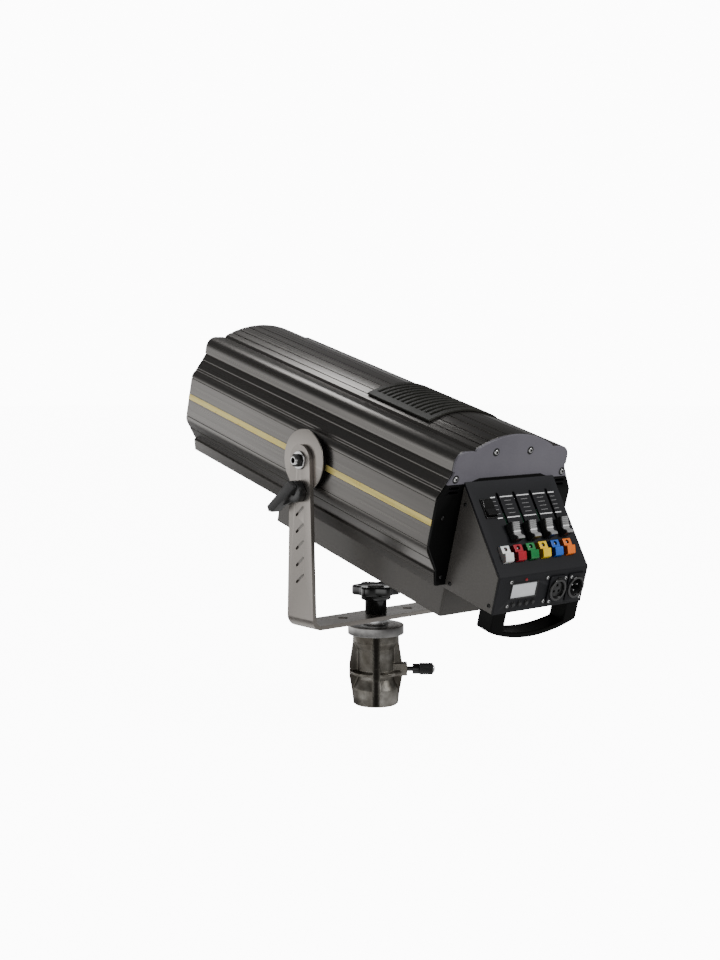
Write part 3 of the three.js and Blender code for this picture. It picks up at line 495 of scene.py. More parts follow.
def anodised(name, dark, light):
    """Drawn aluminium, anodised: hair lines along the extrusion and soft clouding."""
    n = Nodes(name)
    lines = n.noise(420, 2, (1, 0.006, 1))
    cloud = n.noise(7, 3, (1, 0.35, 1))
    colour = n.ramp(cloud, [(0.32, dark), (0.68, light)])
    n.bump(lines, 0.05, 0.02)
    return n.finish(colour, n.between(lines, 0.27, 0.33, 0.35, 0.65), 0.92)


def moulded(name, dark, light, rough=(0.3, 0.45), **more):
    """Moulded plastic: very fine grain and uneven gloss."""
    n = Nodes(name)
    cloud = n.noise(40, 3)
    n.bump(n.noise(1400, 2), 0.25, 0.03)
    return n.finish(n.ramp(cloud, [(0.3, dark), (0.7, light)]), n.between(cloud, *rough), **more)


def key_plastic(name, dark, light):
    """Moulded key, with painted shade on the two sides that face its neighbours."""
    n = Nodes(name)
    cloud = n.noise(40, 3)
    normal = n.add("TexCoord").outputs["Normal"]
    facing = n.math("ABSOLUTE", n.add("SeparateXYZ", {"Vector": normal}).outputs["X"])
    # painted shade: side faces get a darker copy of the key's colour, as if shaded by the neighbouring keys
    side = n.between(facing, 0.0, 1.0, 0.75, 0.9)
    n.bump(n.noise(1400, 2), 0.25, 0.03)
    colour = n.mix(side, n.ramp(cloud, [(0.3, dark), (0.7, light)]), tuple(0.22 * c for c in dark))
    return n.finish(colour, n.between(cloud, 0.28, 0.42), Subsurface_Weight=0.08)


def cast_metal(name):
    """Sand-cast aluminium: mottled, pitted, with darker stains; the four fins get near-black painted shade,
    save along their sharp edges.
    """
    n = Nodes(name)
    mottle = n.noise(55, 6)
    pits = n.noise(420, 3)
    stain = n.noise(18, 4, (1, 1, 0.4))
    base = n.ramp(mottle, [(0.28, (0.1, 0.09, 0.075)), (0.5, (0.26, 0.245, 0.215)),
                           (0.74, (0.55, 0.53, 0.49))])
    dirty = n.between(stain, 0.75, 0.0, 0.4, 0.62)
    stained = n.mix(dirty, base, (0.06, 0.05, 0.038))
    split = n.add("SeparateXYZ", {"Vector": n.place})
    off_x = n.math("ABSOLUTE", split.outputs["X"])
    off_y = n.math("ABSOLUTE", split.outputs["Y"])
    across = n.math("MINIMUM", off_x, off_y)
    reach = n.math("MAXIMUM", off_x, off_y)
    # painted shade: the fins' faces are darkened to near black; their convex edges keep the metal's colour
    fin_painted_shade = n.math("MULTIPLY", n.between(across, 1.0, 0.0, 0.0036, 0.0044),
                    n.between(reach, 0.0, 1.0, 0.0218, 0.0228))
    edge = n.between(n.add("NewGeometry").outputs["Pointiness"], 1.0, 0.0, 0.5, 0.56)
    colour = n.mix(n.math("MULTIPLY", fin_painted_shade, edge), stained, (0.014, 0.012, 0.01))
    height = n.math("ADD", pits, mottle)
    n.bump(height, 0.5, 0.35)
    return n.finish(colour, n.between(mottle, 0.34, 0.52), 0.9)


def machined(name, dark=(0.5, 0.5, 0.5), light=(0.72, 0.72, 0.72), rough=(0.16, 0.3), stretch=(1, 1, 8)):
    """Turned or plated steel: fine tool lines."""
    n = Nodes(name)
    lines = n.noise(340, 3, stretch)
    cloud = n.noise(60, 3)
    n.bump(lines, 0.15, 0.03)
    return n.finish(n.ramp(cloud, [(0.3, dark), (0.7, light)]), n.between(lines, *rough), 1.0)


def pixel_screen(name):
    """Unlit liquid-crystal window: a pale field with a fine grid of dots."""
    n = Nodes(name)
    split = n.add("SeparateXYZ", {"Vector": n.place})
    grid = []
    for axis in ("X", "Y"):
        wave = n.math("FRACT", n.math("MULTIPLY", split.outputs[axis], 1 / (0.9 * MM)))
        grid.append(n.math("GREATER_THAN", wave, 0.28))
    dot = n.math("MULTIPLY", grid[0], grid[1])
    cloud = n.noise(70, 2)
    field = n.ramp(cloud, [(0.3, (0.55, 0.57, 0.6)), (0.7, (0.66, 0.68, 0.7))])
    colour = n.mix(n.math("MULTIPLY", dot, 0.45), field, (0.9, 0.92, 0.93))
    return n.finish(colour, n.between(cloud, 0.18, 0.26))


def glass(name):
    n = Nodes(name)
    haze = n.noise(60, 2)
    n.bump(haze, 0.02, 0.02)
    colour = n.ramp(haze, [(0.3, (0.93, 0.97, 0.98)), (0.7, (1, 1, 1))])
    return n.finish(colour, n.between(haze, 0.01, 0.04), Transmission_Weight=1.0, IOR=1.5)


def circuit(name):
    """Green solder mask with copper tracks under it."""
    n = Nodes(name)
    tracks = n.add("TexBrick", {"Vector": n.place, "Scale": 120.0, "Mortar Size": 0.03})
    colour = n.mix(tracks.outputs["Fac"], (0.01, 0.09, 0.04), (0.03, 0.2, 0.09))
    n.bump(tracks.outputs["Fac"], 0.3, 0.03)
    return n.finish(colour, n.between(n.noise(90), 0.3, 0.45))


BLACK_ANODISED = anodised("black_anodised", grey(0.125, 0.05), grey(0.16, 0.05))
YOKE_PAINT = painted("yoke_paint", grey(0.235, 0.08), grey(0.295, 0.08), (0.3, 0.4), metallic=0.9)
TAUPE_PAINT = painted("taupe_paint", grey(0.068, 0.08), grey(0.1, 0.08), (0.3, 0.42), metallic=0.3)
SLATE_PAINT = painted("slate_paint", (0.1, 0.095, 0.113), (0.135, 0.128, 0.15), (0.38, 0.5))
PANEL_BLACK = painted("panel_black", (0.005, 0.005, 0.0065), (0.009, 0.009, 0.0115), (0.42, 0.58),
                      Specular_IOR_Level=0.22)
SATIN_BLACK = painted("satin_black", grey(0.002), grey(0.004), (0.24, 0.34), Specular_IOR_Level=0.07)
HANDLE_BLACK = painted("handle_black", grey(0.001), grey(0.003), (0.3, 0.42), Specular_IOR_Level=0.05)
KNOB_GREY = painted("knob_grey", grey(0.02), grey(0.035), (0.4, 0.5), Specular_IOR_Level=0.35)
GRILLE_OLIVE = painted("grille_olive", (0.011, 0.011, 0.0085), (0.02, 0.02, 0.016), (0.45, 0.6),
                       Specular_IOR_Level=0.35)
BLACK_PLASTIC = moulded("black_plastic", grey(0.008), grey(0.018), (0.22, 0.4))
GLOSS_BLACK = moulded("gloss_black", grey(0.004), grey(0.01), (0.08, 0.2), Coat_Weight=0.4)
# painted highlight: grey for the lit ridged faces of the black fader caps
GREY_HIGHLIGHT_PLASTIC = moulded("grey_plastic", grey(0.22), grey(0.32), (0.3, 0.45))
GOLD_STRIP = moulded("gold_strip", (0.84, 0.66, 0.17), (0.94, 0.8, 0.28), (0.25, 0.4), metallic=0.25)
BRIGHT_STEEL = machined("bright_steel")
DARK_STEEL = machined("dark_steel", grey(0.03), grey(0.07), (0.25, 0.4))
COLLAR_METAL = machined("collar_metal", grey(0.18, 0.02), grey(0.38, 0.02), (0.28, 0.45), (1, 1, 6))
CAST_ALUMINIUM = cast_metal("cast_aluminium")
PLAIN_ALUMINIUM = machined("plain_aluminium", grey(0.5), grey(0.65), (0.28, 0.42), (8, 1, 1))
WHITE_PRINT = moulded("white_print", grey(0.7), grey(0.85), (0.4, 0.55))
GREY_PRINT = moulded("grey_print", grey(0.16), grey(0.22), (0.4, 0.55))
SCREEN = pixel_screen("screen")
CLEAR_GLASS = glass("clear_glass")
LED_PHOSPHOR = moulded("led_phosphor", (0.75, 0.55, 0.08), (0.85, 0.68, 0.15), (0.4, 0.5))
RED_LAMP = moulded("red_lamp", (0.22, 0.01, 0.015), (0.35, 0.015, 0.02), (0.15, 0.25))
CIRCUIT_GREEN = circuit("circuit_green")
# painted shade: near-black for the insides of screw sockets, sunk seats, the hollow bolt ends and the vent
# slots
VOID_SHADE = moulded("void_shade", grey(0.002), grey(0.004), (0.7, 0.9))
KEY_COLOURS = {
    "white": ((0.72, 0.72, 0.7), (0.86, 0.86, 0.84)),
    "red": ((0.3, 0.004, 0.014), (0.44, 0.008, 0.022)),
    "green": ((0.004, 0.15, 0.035), (0.008, 0.24, 0.06)),
    "yellow": ((0.85, 0.5, 0.004), (0.95, 0.64, 0.01)),
    "blue": ((0.006, 0.075, 0.4), (0.012, 0.13, 0.58)),
    "orange": ((0.82, 0.13, 0.003), (0.95, 0.21, 0.008)),
}
KEY_PLASTIC = {name: key_plastic("key_" + name, *pair) for name, pair in KEY_COLOURS.items()}

# the part's own slot of each material whose name is not its slot's
SLOT_OF = {
    "satin_black": "panel_black",
    "handle_black": "panel_black",
    "white_print": "panel_black",
    "grey_print": "panel_black",
    "knob_grey": "black_plastic",
    "gloss_black": "black_plastic",
    "void_shade": "black_plastic",
    "dark_steel": "bright_steel",
    "collar_metal": "cast_aluminium",
    "red_lamp": "screen",
}


# ---------------- casing
# groove sections, as (shift along the edge, sink) in shares of the groove's width and depth
SQUARE_CUT = ((-0.5, 0), (-0.35, 1), (0.35, 1), (0.5, 0))
SAW_TOOTH = ((-0.5, 0), (0.48, 1), (0.5, 0))


def grooved_line(a, b, fractions, width=1.5, depth=0.9, profile=SQUARE_CUT):
    """Straight edge with small grooves at the given fractions of its length, cut to its right."""
    start = Vector(a)
    run = Vector(b) - start
    along = run.normalized()
    inward = Vector((along.y, -along.x))
    points = [a]
    for fraction in fractions:
        for shift, sink in profile:
            points.append(tuple(start + run * fraction + along * shift * width + inward * sink * depth))
    points.append(b)
    return points


def crown_line(depth=0.0, grooves=()):
    """Crown and shoulder, right half, from the middle down to the seam, set in by depth."""
    centre = CROWN_TOP - CROWN_RADIUS
    end = math.degrees(math.acos(CROWN_HALF / CROWN_RADIUS))
    radius = CROWN_RADIUS - depth
    points = []
    marks = [90 - math.degrees(math.asin(x / CROWN_RADIUS)) for x in grooves]
    previous = 90
    for mark in marks + [end + depth * 0.4]:
        last = mark == end + depth * 0.4
        points += arc(0, centre, radius, previous, mark if last else mark + 0.35, 8)
        if not last:
            points += arc(0, centre, radius - 0.9, mark + 0.22, mark - 0.22, 1)
            previous = mark - 0.35
    points += [(CROWN_HALF + 2 - depth * 0.2, SHOULDER_Z - 0.6 - depth),
               (CROWN_HALF + 5, SHOULDER_Z - depth)]
    corner = (SHOULDER_X - SHOULDER_RADIUS, SHOULDER_Z - SHOULDER_RADIUS)
    points += arc(*corner, SHOULDER_RADIUS - depth, 90, 0, 14)
    points.append((SHOULDER_X - depth, SEAM_Z + GAP / 2))
    return points


def side_line(depth=0.0):
    """Flank, flat panel and skirt, right half, from the seam down, set in by depth."""
    seam = SEAM_Z - GAP / 2
    x = SHOULDER_X - depth
    if depth:
        return [(x - 1.5, seam), (x - 0.4, seam - 4), (PANEL_X - depth, PANEL_TOP - 0.5),
                (PANEL_X - depth, PANEL_BOTTOM + 0.5), (NOTCH[0] - depth - 0.5, NOTCH[1] + 0.5),
                (SKIRT_X - depth, SKIRT_BOTTOM + depth)]
    top = STRIPE_Z + STRIPE_HEIGHT / 2
    bottom = STRIPE_Z - STRIPE_HEIGHT / 2
    bed = PANEL_X - STRIPE_DEPTH
    return [(x - 1.6, seam), (x + 0.6, seam - 3.2),
            *grooved_line((x + 1, seam - 4.5), (PANEL_X - 3.5, 32.6), (0.2, 0.78, 0.91), 1.5, 0.85,
                          SAW_TOOTH),
            *arc(PANEL_X - 10, 25, 10, 49, 0, 8),
            *grooved_line((PANEL_X, 24.9), (PANEL_X, top), (0.035,), 1.1),
            (bed, top), (bed, bottom),
            *grooved_line((PANEL_X, bottom), (PANEL_X, -24.9), (0.965,), 1.1),
            *arc(PANEL_X - 14, -25, 14, 0, -32, 8),
            *grooved_line((PANEL_X - 2.2, -32.6), NOTCH, (0.35,), 1.5, 0.85, SAW_TOOTH),
            (NOTCH[0] - 1.8, NOTCH[1] - 2), (NOTCH[0] - 0.4, NOTCH[1] - 4), (SKIRT_X, SKIRT_BOTTOM)]


def casing_outline(depth=0.0, low=SKIRT_BOTTOM, high=200.0, edge=()):
    """The whole section of the casing between two heights; edge replaces its straight cut edge."""
    half = [*crown_line(depth), *side_line(max(depth, 0.01))[:-1], (SKIRT_X - depth, SKIRT_BOTTOM)]
    clipped = []
    for a, b in zip(half, half[1:]):
        for height in (high, low):
            if (a[1] - height) * (b[1] - height) < 0:
                share = (height - a[1]) / (b[1] - a[1])
                clipped.append((a[0] + share * (b[0] - a[0]), height))
        if low <= b[1] <= high:
            clipped.append(b)
    if high > CROWN_TOP:
        clipped.insert(0, half[0])
        return clipped + list(edge) + mirrored(clipped)[:-1]
    return clipped + mirrored(clipped) + list(edge)


def top_shell():
    outer = crown_line(0, (13, 26, 39, 49))
    inner = crown_line(WALL)
    section = mirrored(outer)[:-1] + outer + inner[::-1] + mirrored(inner)[::-1][1:]
    shell = slab("top_shell", [section], -BODY_FRONT, -BODY_REAR, REARWARD, bevel=0.35, sharp=28)
    combine(shell, [box_tool((-42, 42), (-118, -34), (60, 110))], sharp=28)
    attach(shell, BLACK_ANODISED, "top_shell")


def side_shell(side, sign):
    flange = TRAY_HALF + GAP
    section = [*side_line(), (flange, SKIRT_BOTTOM), (flange, SKIRT_BOTTOM + WALL),
               *side_line(WALL)[::-1]]
    if sign < 0:
        section = mirrored(section)
    shell = slab(f"side_shell_{side}", [section], -BODY_FRONT, -BODY_REAR, REARWARD, bevel=0.35,
                 sharp=28)
    bore = rod_tool(3 + GAP, 80, 110, LEFTWARD if sign < 0 else RIGHTWARD, segments=20)
    combine(shell, [bore], sharp=28)
    attach(shell, BLACK_ANODISED, f"side_shell_{side}")


def side_stripe(side, sign):
    half = STRIPE_HEIGHT / 2 - GAP
    low = PANEL_X - STRIPE_DEPTH + GAP
    place = LEFTWARD if sign < 0 else RIGHTWARD
    outline = [(sign * y, z) for y, z in ((BODY_REAR, STRIPE_Z - half), (BODY_FRONT, STRIPE_Z - half),
                                          (BODY_FRONT, STRIPE_Z + half), (BODY_REAR, STRIPE_Z + half))]
    strip = slab(f"side_stripe_{side}", [outline, circle(3 + GAP, 24)], low, PANEL_X + 0.2, place,
                 bevel=0.25)
    attach(strip, GOLD_STRIP, f"side_stripe_{side}")


def socket_screw(name, seat, radius, height, material=BRIGHT_STEEL):
    """Button-head screw with a hexagon socket, whose floor is a disc of painted shade."""
    socket = radius * 0.58
    head = lathe(name, [(0, 0), (radius, 0), (radius, height * 0.35), (radius * 0.86, height * 0.8),
                        (radius * 0.66, height), (0, height)], seat, segments=32)
    combine(head, [cutter(circle(socket, 6), height * 0.25, height + 1, seat)], sharp=40)
    # painted shade: a near-black disc fills the socket's floor
    socket_shade_disc = slab(name + "_socket", [circle(socket * 0.97, 6)], height * 0.22, height * 0.5, seat)
    attach(socket_shade_disc, VOID_SHADE)
    attach(head, material)


def screws(name, seats, *size_and_material):
    for i, seat in enumerate(seats):
        socket_screw(f"{name}_{i + 1}", seat, *size_and_material)


def cup_screw(name, seat, radius):
    """Black countersunk seat with a plated screw in it."""
    attach(ring(name + "_seat", radius, radius + 1.0, 0.02, 0.35, 0.12, seat, segments=40), BLACK_PLASTIC)
    socket_screw(name, seat @ moved(0, 0, 0.02), radius * 0.95, 0.9)


def rear_plate():
    back = -BODY_REAR + GAP
    outline = casing_outline(0, PLATE_LOW, edge=PLATE_NOTCH)
    plate = slab("rear_plate", [outline], back, back + PLATE, REARWARD, bevel=0.5, sharp=30)
    attach(plate, SLATE_PAINT, "rear_plate")
    seats = [REAR_SKIN @ moved(x, z) for x, z in ((-28.5, 74.4), (22.9, 74.0), (-80, 47.5), (80, 47.5))]
    for i, seat in enumerate(seats):
        # painted shade: a near-black ring round each screw stands in for its sunk seat
        attach(ring(f"rear_plate_cup_shade_{i + 1}", 3.0, 4.4, 0.02, 0.35, 0.1, seat), VOID_SHADE)
        socket_screw(f"rear_plate_screw_{i + 1}", seat, 3.1, 1.4)


def rear_bulkhead():
    back = -BODY_REAR + GAP
    notch = [(x, z - GAP) for x, z in reversed(PLATE_NOTCH)]
    outline = casing_outline(0, SKIRT_BOTTOM, PLATE_LOW - GAP, notch)
    window = box_outline(46, 42, 2, (0, -10))
    holes = [window]
    for sign in (-1, 1):
        for z in (32.8, 37.5):
            holes.append(box_outline(7, 1.2, 1, (sign * 79.5, z)))
    plate = slab("rear_bulkhead", [outline] + holes, back, back + PLATE, REARWARD, bevel=0.4, sharp=30)
    attach(plate, SATIN_BLACK, "rear_bulkhead")
    seats = [REAR_SKIN @ moved(x, z) for x, z in ((-88, 6), (88, 6), (-74, -60), (74, -60))]
    screws("bulkhead_screw", seats, 2.4, 1.3, DARK_STEEL)


def front_end():
    outline = casing_outline(WALL + 0.5, LID_TOP + GAP)
    plate = slab("front_plate", [outline, circle(61, 72, (0, OPTIC_Z))], -244, -241, REARWARD,
                 bevel=0.4, sharp=30)
    attach(plate, SATIN_BLACK, "front_plate")
    bezel = ring("front_lens_ring", 58.6, 66, 244.1, 247.2, 0.8, BEAM, segments=96)
    attach(bezel, SATIN_BLACK, slot="black_plastic")
    seats = [BEAM @ turned("Z", 60 * i + 30) @ moved(62.4, 0, 247.1) for i in range(6)]
    screws("lens_ring_screw", seats, 1.7, 0.9, DARK_STEEL)
    spots = ((-76, 40), (76, 40), (-84, -30), (84, -30), (-30, 82), (30, 82))
    screws("front_plate_screw", [moved(x, 244, z) @ FORWARD for x, z in spots], 2.6, 1.4)


def lens(name, body, radius, rear, edge, dome, rear_dome):
    """Glass lens on the beam axis, domed at the front and, by rear_dome, at the rear."""
    steps = 14
    rear_face = [(radius * i / steps, rear - rear_dome * (1 - (i / steps) ** 2)) for i in range(steps)]
    rim = [(radius, rear), (radius, rear + edge)]
    front_face = [(radius * i / steps, rear + edge + dome * (1 - (i / steps) ** 2))
                  for i in range(steps - 1, -1, -1)]
    glass_body = lathe(name, rear_face + rim + front_face, BEAM, segments=72, sharp=40)
    attach(glass_body, CLEAR_GLASS, name, body=body)


def vent_grille():
    centre = CROWN_TOP - CROWN_RADIUS
    edge = 24.5
    section = [*arc(0, centre, CROWN_RADIUS + 3, 90 - edge, 90 + edge, 28),
               *arc(0, centre, CROWN_RADIUS + GAP, 90 + edge, 90 - edge, 28)]
    plate = slab("vent_grille", [section], 24, 128, REARWARD)
    half = VENT_SLOT / 2
    combine(plate, [join([box_tool((-43, 43), (y - half, y + half), (60, 110)) for y in VENT_Y])])
    soften(plate, 0.45, 2, 45)
    attach(plate, GRILLE_OLIVE, "vent_grille")
    # painted shade: near-black blades under the slots stand in for the dark inside of the casing
    blade = [*arc(0, centre, CROWN_RADIUS - 3.4, 70.5, 109.5, 16),
             *arc(0, centre, CROWN_RADIUS - 4.2, 109.5, 70.5, 16)]
    shade_louvres = [slab("shade_louvre", [blade], -y - 3.2, -y + 3.2, REARWARD) for y in VENT_Y]
    attach(named(join(shade_louvres), "vent_shade_louvres"), VOID_SHADE)


def base_tray():
    w = TRAY_HALF
    tray = slab("base_tray", [box_outline(w, (TRAY_FRONT - BODY_REAR) / 2, 3,
                                          (0, (TRAY_FRONT + BODY_REAR) / 2))],
                TRAY_BOTTOM, LID_TOP - 1, bevel=1.2)
    lid = box_tool((-75.5, 75.5), (BODY_REAR, BODY_FRONT), (LID_TOP - 2, LID_TOP))
    room = box_tool((2 - w, w - 2), (BODY_REAR + 2, TRAY_FRONT - 2), (TRAY_BOTTOM + 2, LID_TOP + 1))
    mouth = box_tool((w - 5, w + 5), (-163.8, -136.2), (-100.2, -79.8))
    combine(tray, [lid], "UNION")
    combine(tray, [room, mouth])
    level_shading(tray)
    attach(tray, TAUPE_PAINT, "base_tray")
    seats = [moved(x, y, TRAY_BOTTOM) @ turned("X", 180) for y in (-196, 77, -60) for x in (-50, 50)]
    screws("tray_screw", seats, 2.4, 1.2, DARK_STEEL)


def friction_disc(side, place):
    """Grey face plate on a black pad, whose hub stands on the side panel; the pad's black is painted shade
    for the disc's dark rim and its shadow on the panel.
    """
    outer = YOKE_WIDTH / 2 - YOKE_THICKNESS - GAP
    seam = outer - 1.4
    hub = PANEL_X + 0.5
    bore = PIVOT_RADIUS + GAP
    name = f"friction_disc_{side}"
    profile = fillet([(bore, seam), (DISC_RADIUS, seam), (DISC_RADIUS, outer), (bore, outer)],
                     [0, 0.3, 0.6, 0], 3)
    plate = lathe(name, profile, place, segments=96, closed=True)
    attach(plate, YOKE_PAINT, name)
    profile = fillet([(bore, hub), (20, hub), (20, outer - 5), (DISC_RADIUS, outer - 5),
                      (DISC_RADIUS, seam), (bore, seam)],
                     [0, 0.6, 1.0, 0.9, 0.3, 0], 3)
    # painted shade: the black pad stands in for the shade on the disc's rim and the shadow it casts on the
    # side panel
    rim_shade_pad = lathe(f"friction_shade_pad_{side}", profile, place, segments=96, closed=True)
    attach(rim_shade_pad, SATIN_BLACK, name, slot="black_plastic")


top_shell()
for side, sign in (("right", 1), ("left", -1)):
    side_shell(side, sign)
    side_stripe(side, sign)
    friction_disc(side, LEFTWARD if sign < 0 else RIGHTWARD)
rear_plate()
rear_bulkhead()
front_end()
vent_grille()
base_tray()
lens("front_lens", "head", 60.4, 239, 6, 3, 12)
lens("condenser_lens", "head", 32, -92, 4, 12, 0)
lens("zoom_lens", "lens_carriage", 40, 60, 5, 7, 7)


# ---------------- yoke and its hardware
def capsule(length, width):
    half = (length - width) / 2
    return arc(half, 0, width / 2, -90, 90, 8) + arc(-half, 0, width / 2, 90, 270, 8)


def yoke():
    half = YOKE_WIDTH / 2
    low = -PIVOT_ABOVE_BAR - YOKE_THICKNESS
    inside = half - YOKE_THICKNESS
    bend = (half - BEND_RADIUS, low + BEND_RADIUS)
    right = [*arc(*bend, BEND_RADIUS, -90, 0, 14), (half, 30), (inside, 30),
             *arc(*bend, BEND_RADIUS - YOKE_THICKNESS, 0, -90, 14)]
    strap = slab("yoke", [right + mirrored(right)], -30, 30, REARWARD, YOKE)
    foot = low + BEND_RADIUS
    side = [*arc(0, 0, ARM_TOP_RADIUS, 0, 180, 32), (-ARM_WIDTH / 2, foot), (-BAR_WIDTH / 2, low - 1),
            (BAR_WIDTH / 2, low - 1), (ARM_WIDTH / 2, foot)]
    across = (-half - 1, half + 1)
    combine(strap, [cutter(side, *across, RIGHTWARD, YOKE)], "INTERSECT")
    tools = [rod_tool(PIVOT_RADIUS + GAP, *across, RIGHTWARD, YOKE),
             rod_tool(3.3, *across, moved(0, 0, -WING_DROP) @ RIGHTWARD, YOKE)]
    for i in range(5):
        place = moved(0, 0, -57.4 - i * 19) @ RIGHTWARD @ turned("Z", -39)
        tools.append(cutter(capsule(18.4, 3), *across, place, YOKE))
    for x in (-50, 0, 50):
        radius = 6.3 if x == 0 else 6
        tools.append(rod_tool(radius, low - 1, low + YOKE_THICKNESS + 1, moved(x, 0, 0), YOKE))
    combine(strap, [join(tools)])
    soften(strap, 0.7, 3, 40)
    attach(strap, YOKE_PAINT, "yoke", body="yoke")


def pivot_bolt(side, place):
    """Plated washer, black nut and a hollow threaded end, outside the arm."""
    face = YOKE_WIDTH / 2 + GAP
    tip = face + 9
    name = f"pivot_bolt_{side}"
    washer = ring(f"pivot_washer_{side}", 5, 10.5, face, face + 1.7, 0.4, place, YOKE, 64)
    attach(washer, BRIGHT_STEEL, name, body="yoke")
    nut = slab(f"pivot_nut_{side}", [circle(8, 6), circle(4.9, 24)], face + 1.7, face + 6.5, place,
               YOKE, bevel=0.6)
    attach(nut, DARK_STEEL, name, body="yoke")
    shank = [(0, PANEL_X - 4), (3, PANEL_X - 4), (3, PANEL_X + 3), (PIVOT_RADIUS, PANEL_X + 3)]
    height = face + 1.6
    while height < tip - 1:
        shank += [(PIVOT_RADIUS, height), (PIVOT_RADIUS - 0.5, height + 0.35)]
        height += 0.8
    shank += [(PIVOT_RADIUS, tip - 0.5), (4.3, tip), (3.5, tip), (3.4, tip - 5), (0, tip - 5.4)]
    bolt = lathe(name, shank, place, YOKE, 40)
    attach(bolt, BRIGHT_STEEL, name, body="yoke")
    # painted shade: a near-black lining fills the hollow end of the bolt
    hole = lathe(f"pivot_hole_shade_{side}", [(0, tip - 5.2), (3.35, tip - 4.8), (3.35, tip - 1), (3.2, tip - 1),
                                        (3.1, tip - 4.4), (0, tip - 4.6)], place, YOKE, 32)
    attach(hole, VOID_SHADE, body="yoke", slot="bright_steel")


def wing_knob(side, place):
    """One-armed clamping knob: a thick dark strip over a thin web, beside a round hub."""
    face = YOKE_WIDTH / 2 + GAP
    name = f"wing_knob_{side}"
    axis = moved(0, 0, -WING_DROP) @ place
    lean = axis @ turned("X", WING_DROOP) @ RIGHTWARD
    strip = fillet([(10, 0), (5, 12), (-46.5, 12), (-48, 6), (-43, 1)], [2.5, 2, 1.2, 1.2, 1.5], 4)
    blade = slab(name, [strip], face + 0.5, face + 13, lean, YOKE, bevel=0.7)
    attach(blade, KNOB_GREY, name, body=name)
    web = slab(f"wing_web_{side}", [fillet([(9, 5), (-42.5, 5), (-15.5, -4.7), (0, -6)], 2, 4)],
               face + 0.5, face + 5.5, lean, YOKE, bevel=0.5)
    attach(web, BLACK_PLASTIC, name, body=name)
    own = axis @ moved(face, 0, 0) @ RIGHTWARD
    profile = fillet([(0, 0), (12, 0), (12, 9), (4, 9), (3.6, 8), (0, 8)], [0, 1.0, 1.0, 1.0, 1.0, 0], 3)
    hub = lathe(f"wing_hub_{side}", profile, own, YOKE, 56)
    attach(hub, BLACK_PLASTIC, name, body=name)
    screw = lathe(f"wing_screw_{side}", [(0, -YOKE_THICKNESS - GAP), (3, -YOKE_THICKNESS - GAP), (3, 1),
                                         (0, 1)], own, YOKE, 24)
    attach(screw, BRIGHT_STEEL, name, body=name)


# ---------------- stand head
def ribbed(profile, ribs, depth, segments):
    """Rings for skin whose radius waves round the axis; profile is (radius, height, share of depth)."""
    rings = []
    for radius, height, share in profile:
        ring = []
        for i in range(segments):
            angle = 2 * math.pi * i / segments
            r = max(radius + depth * share * math.cos(ribs * angle), 1e-4)
            ring.append((r * math.cos(angle), r * math.sin(angle), height))
        rings.append(ring)
    return rings


def star_knob():
    foot = PIVOT_Z - PIVOT_ABOVE_BAR + GAP
    edge = [(1 - math.cos(math.pi / 2 * k / 5), math.sin(math.pi / 2 * k / 5)) for k in range(6)]
    profile = [(0, 0, 0), (12.4, 0, 0), (12.8, 0.6, 0), (12.8, 15.5, 0), (13.4, 16.2, 0),
               (17, 16.6, 0), (17.5, 17.2, 0), (17.5, 22, 0)]
    profile += [(25.2 - 2.2 * (1 - s), 22 + 2.2 * c, 1) for c, s in edge]
    profile += [(25.2 - 2.4 * c, 31.1 + 2.4 * s, 1) for c, s in edge]
    profile += [(20.6, 33.2, 0.4), (19.6, 32.6, 0), (17, 31.8, 0), (0, 31.5, 0)]
    knob = skin("star_knob", ribbed(profile, 6, 3, 144), moved(0, 0, foot), STAND, sharp=50)
    attach(knob, GLOSS_BLACK, "star_knob", body="star_knob")
    cap = lathe("star_knob_cap", fillet([(0, 31.45), (9.5, 31.55), (9.5, 32.6), (0, 32.9)],
                                        [0, 0.1, 0.5, 0], 3), moved(0, 0, foot), STAND, 48)
    attach(cap, BLACK_PLASTIC, body="star_knob")


def stand_casting():
    h = CASTING_HEIGHT
    barrel = lathe("stand_casting", [(0, 0), (25.6, 0), (26.7, 8), (26.7, 19), (21.5, 31),
                                     (21.5, h - 28), (26.5, h - 20), (26.5, h - 6), (0, h - 6)],
                   UP, STAND, 64)
    parts = [barrel]
    fin = [(17, 0.5), (26.4, 0.5), (28, 14), (31.4, 33), (31.4, 47), (27.5, 72), (27, h - 11), (17, h - 11)]
    for i in range(4):
        parts.append(slab("fin", [fin], -4, 4, turned("Z", 90 * i) @ REARWARD, STAND))
    parts.append(lathe("web", [(0, h - 58), (30.6, h - 58), (30.6, h - 54.5), (0, h - 54.5)], UP, STAND))
    parts.append(slab("boss", [box_outline(7.25, 7.25)], 20, 37, LOCK, STAND))
    body = join(parts)
    melt(body, 0.8, 3)
    tools = [rod_tool(18.2, -1, 70, UP, STAND, 64), rod_tool(3.4, 10, 38, LOCK, STAND),
             rod_tool(6.3, 60, h + 1, UP, STAND)]
    combine(body, [join(tools)], sharp=50)
    body.name = "stand_casting"
    attach(body, CAST_ALUMINIUM, "stand_casting", body="stand")
    collar = ring("stand_collar", 6.3, 33, h - 10.8, h, 0.9, UP, STAND, 96)
    attach(collar, COLLAR_METAL, "stand_casting", body="stand")


def pan_washer():
    foot = CASTING_HEIGHT + GAP
    washer = ring("pan_washer", 6.3, 15, foot, foot + 7.6, 0.6, UP, STAND, 64)
    attach(washer, BRIGHT_STEEL, "pan_washer", body="stand")


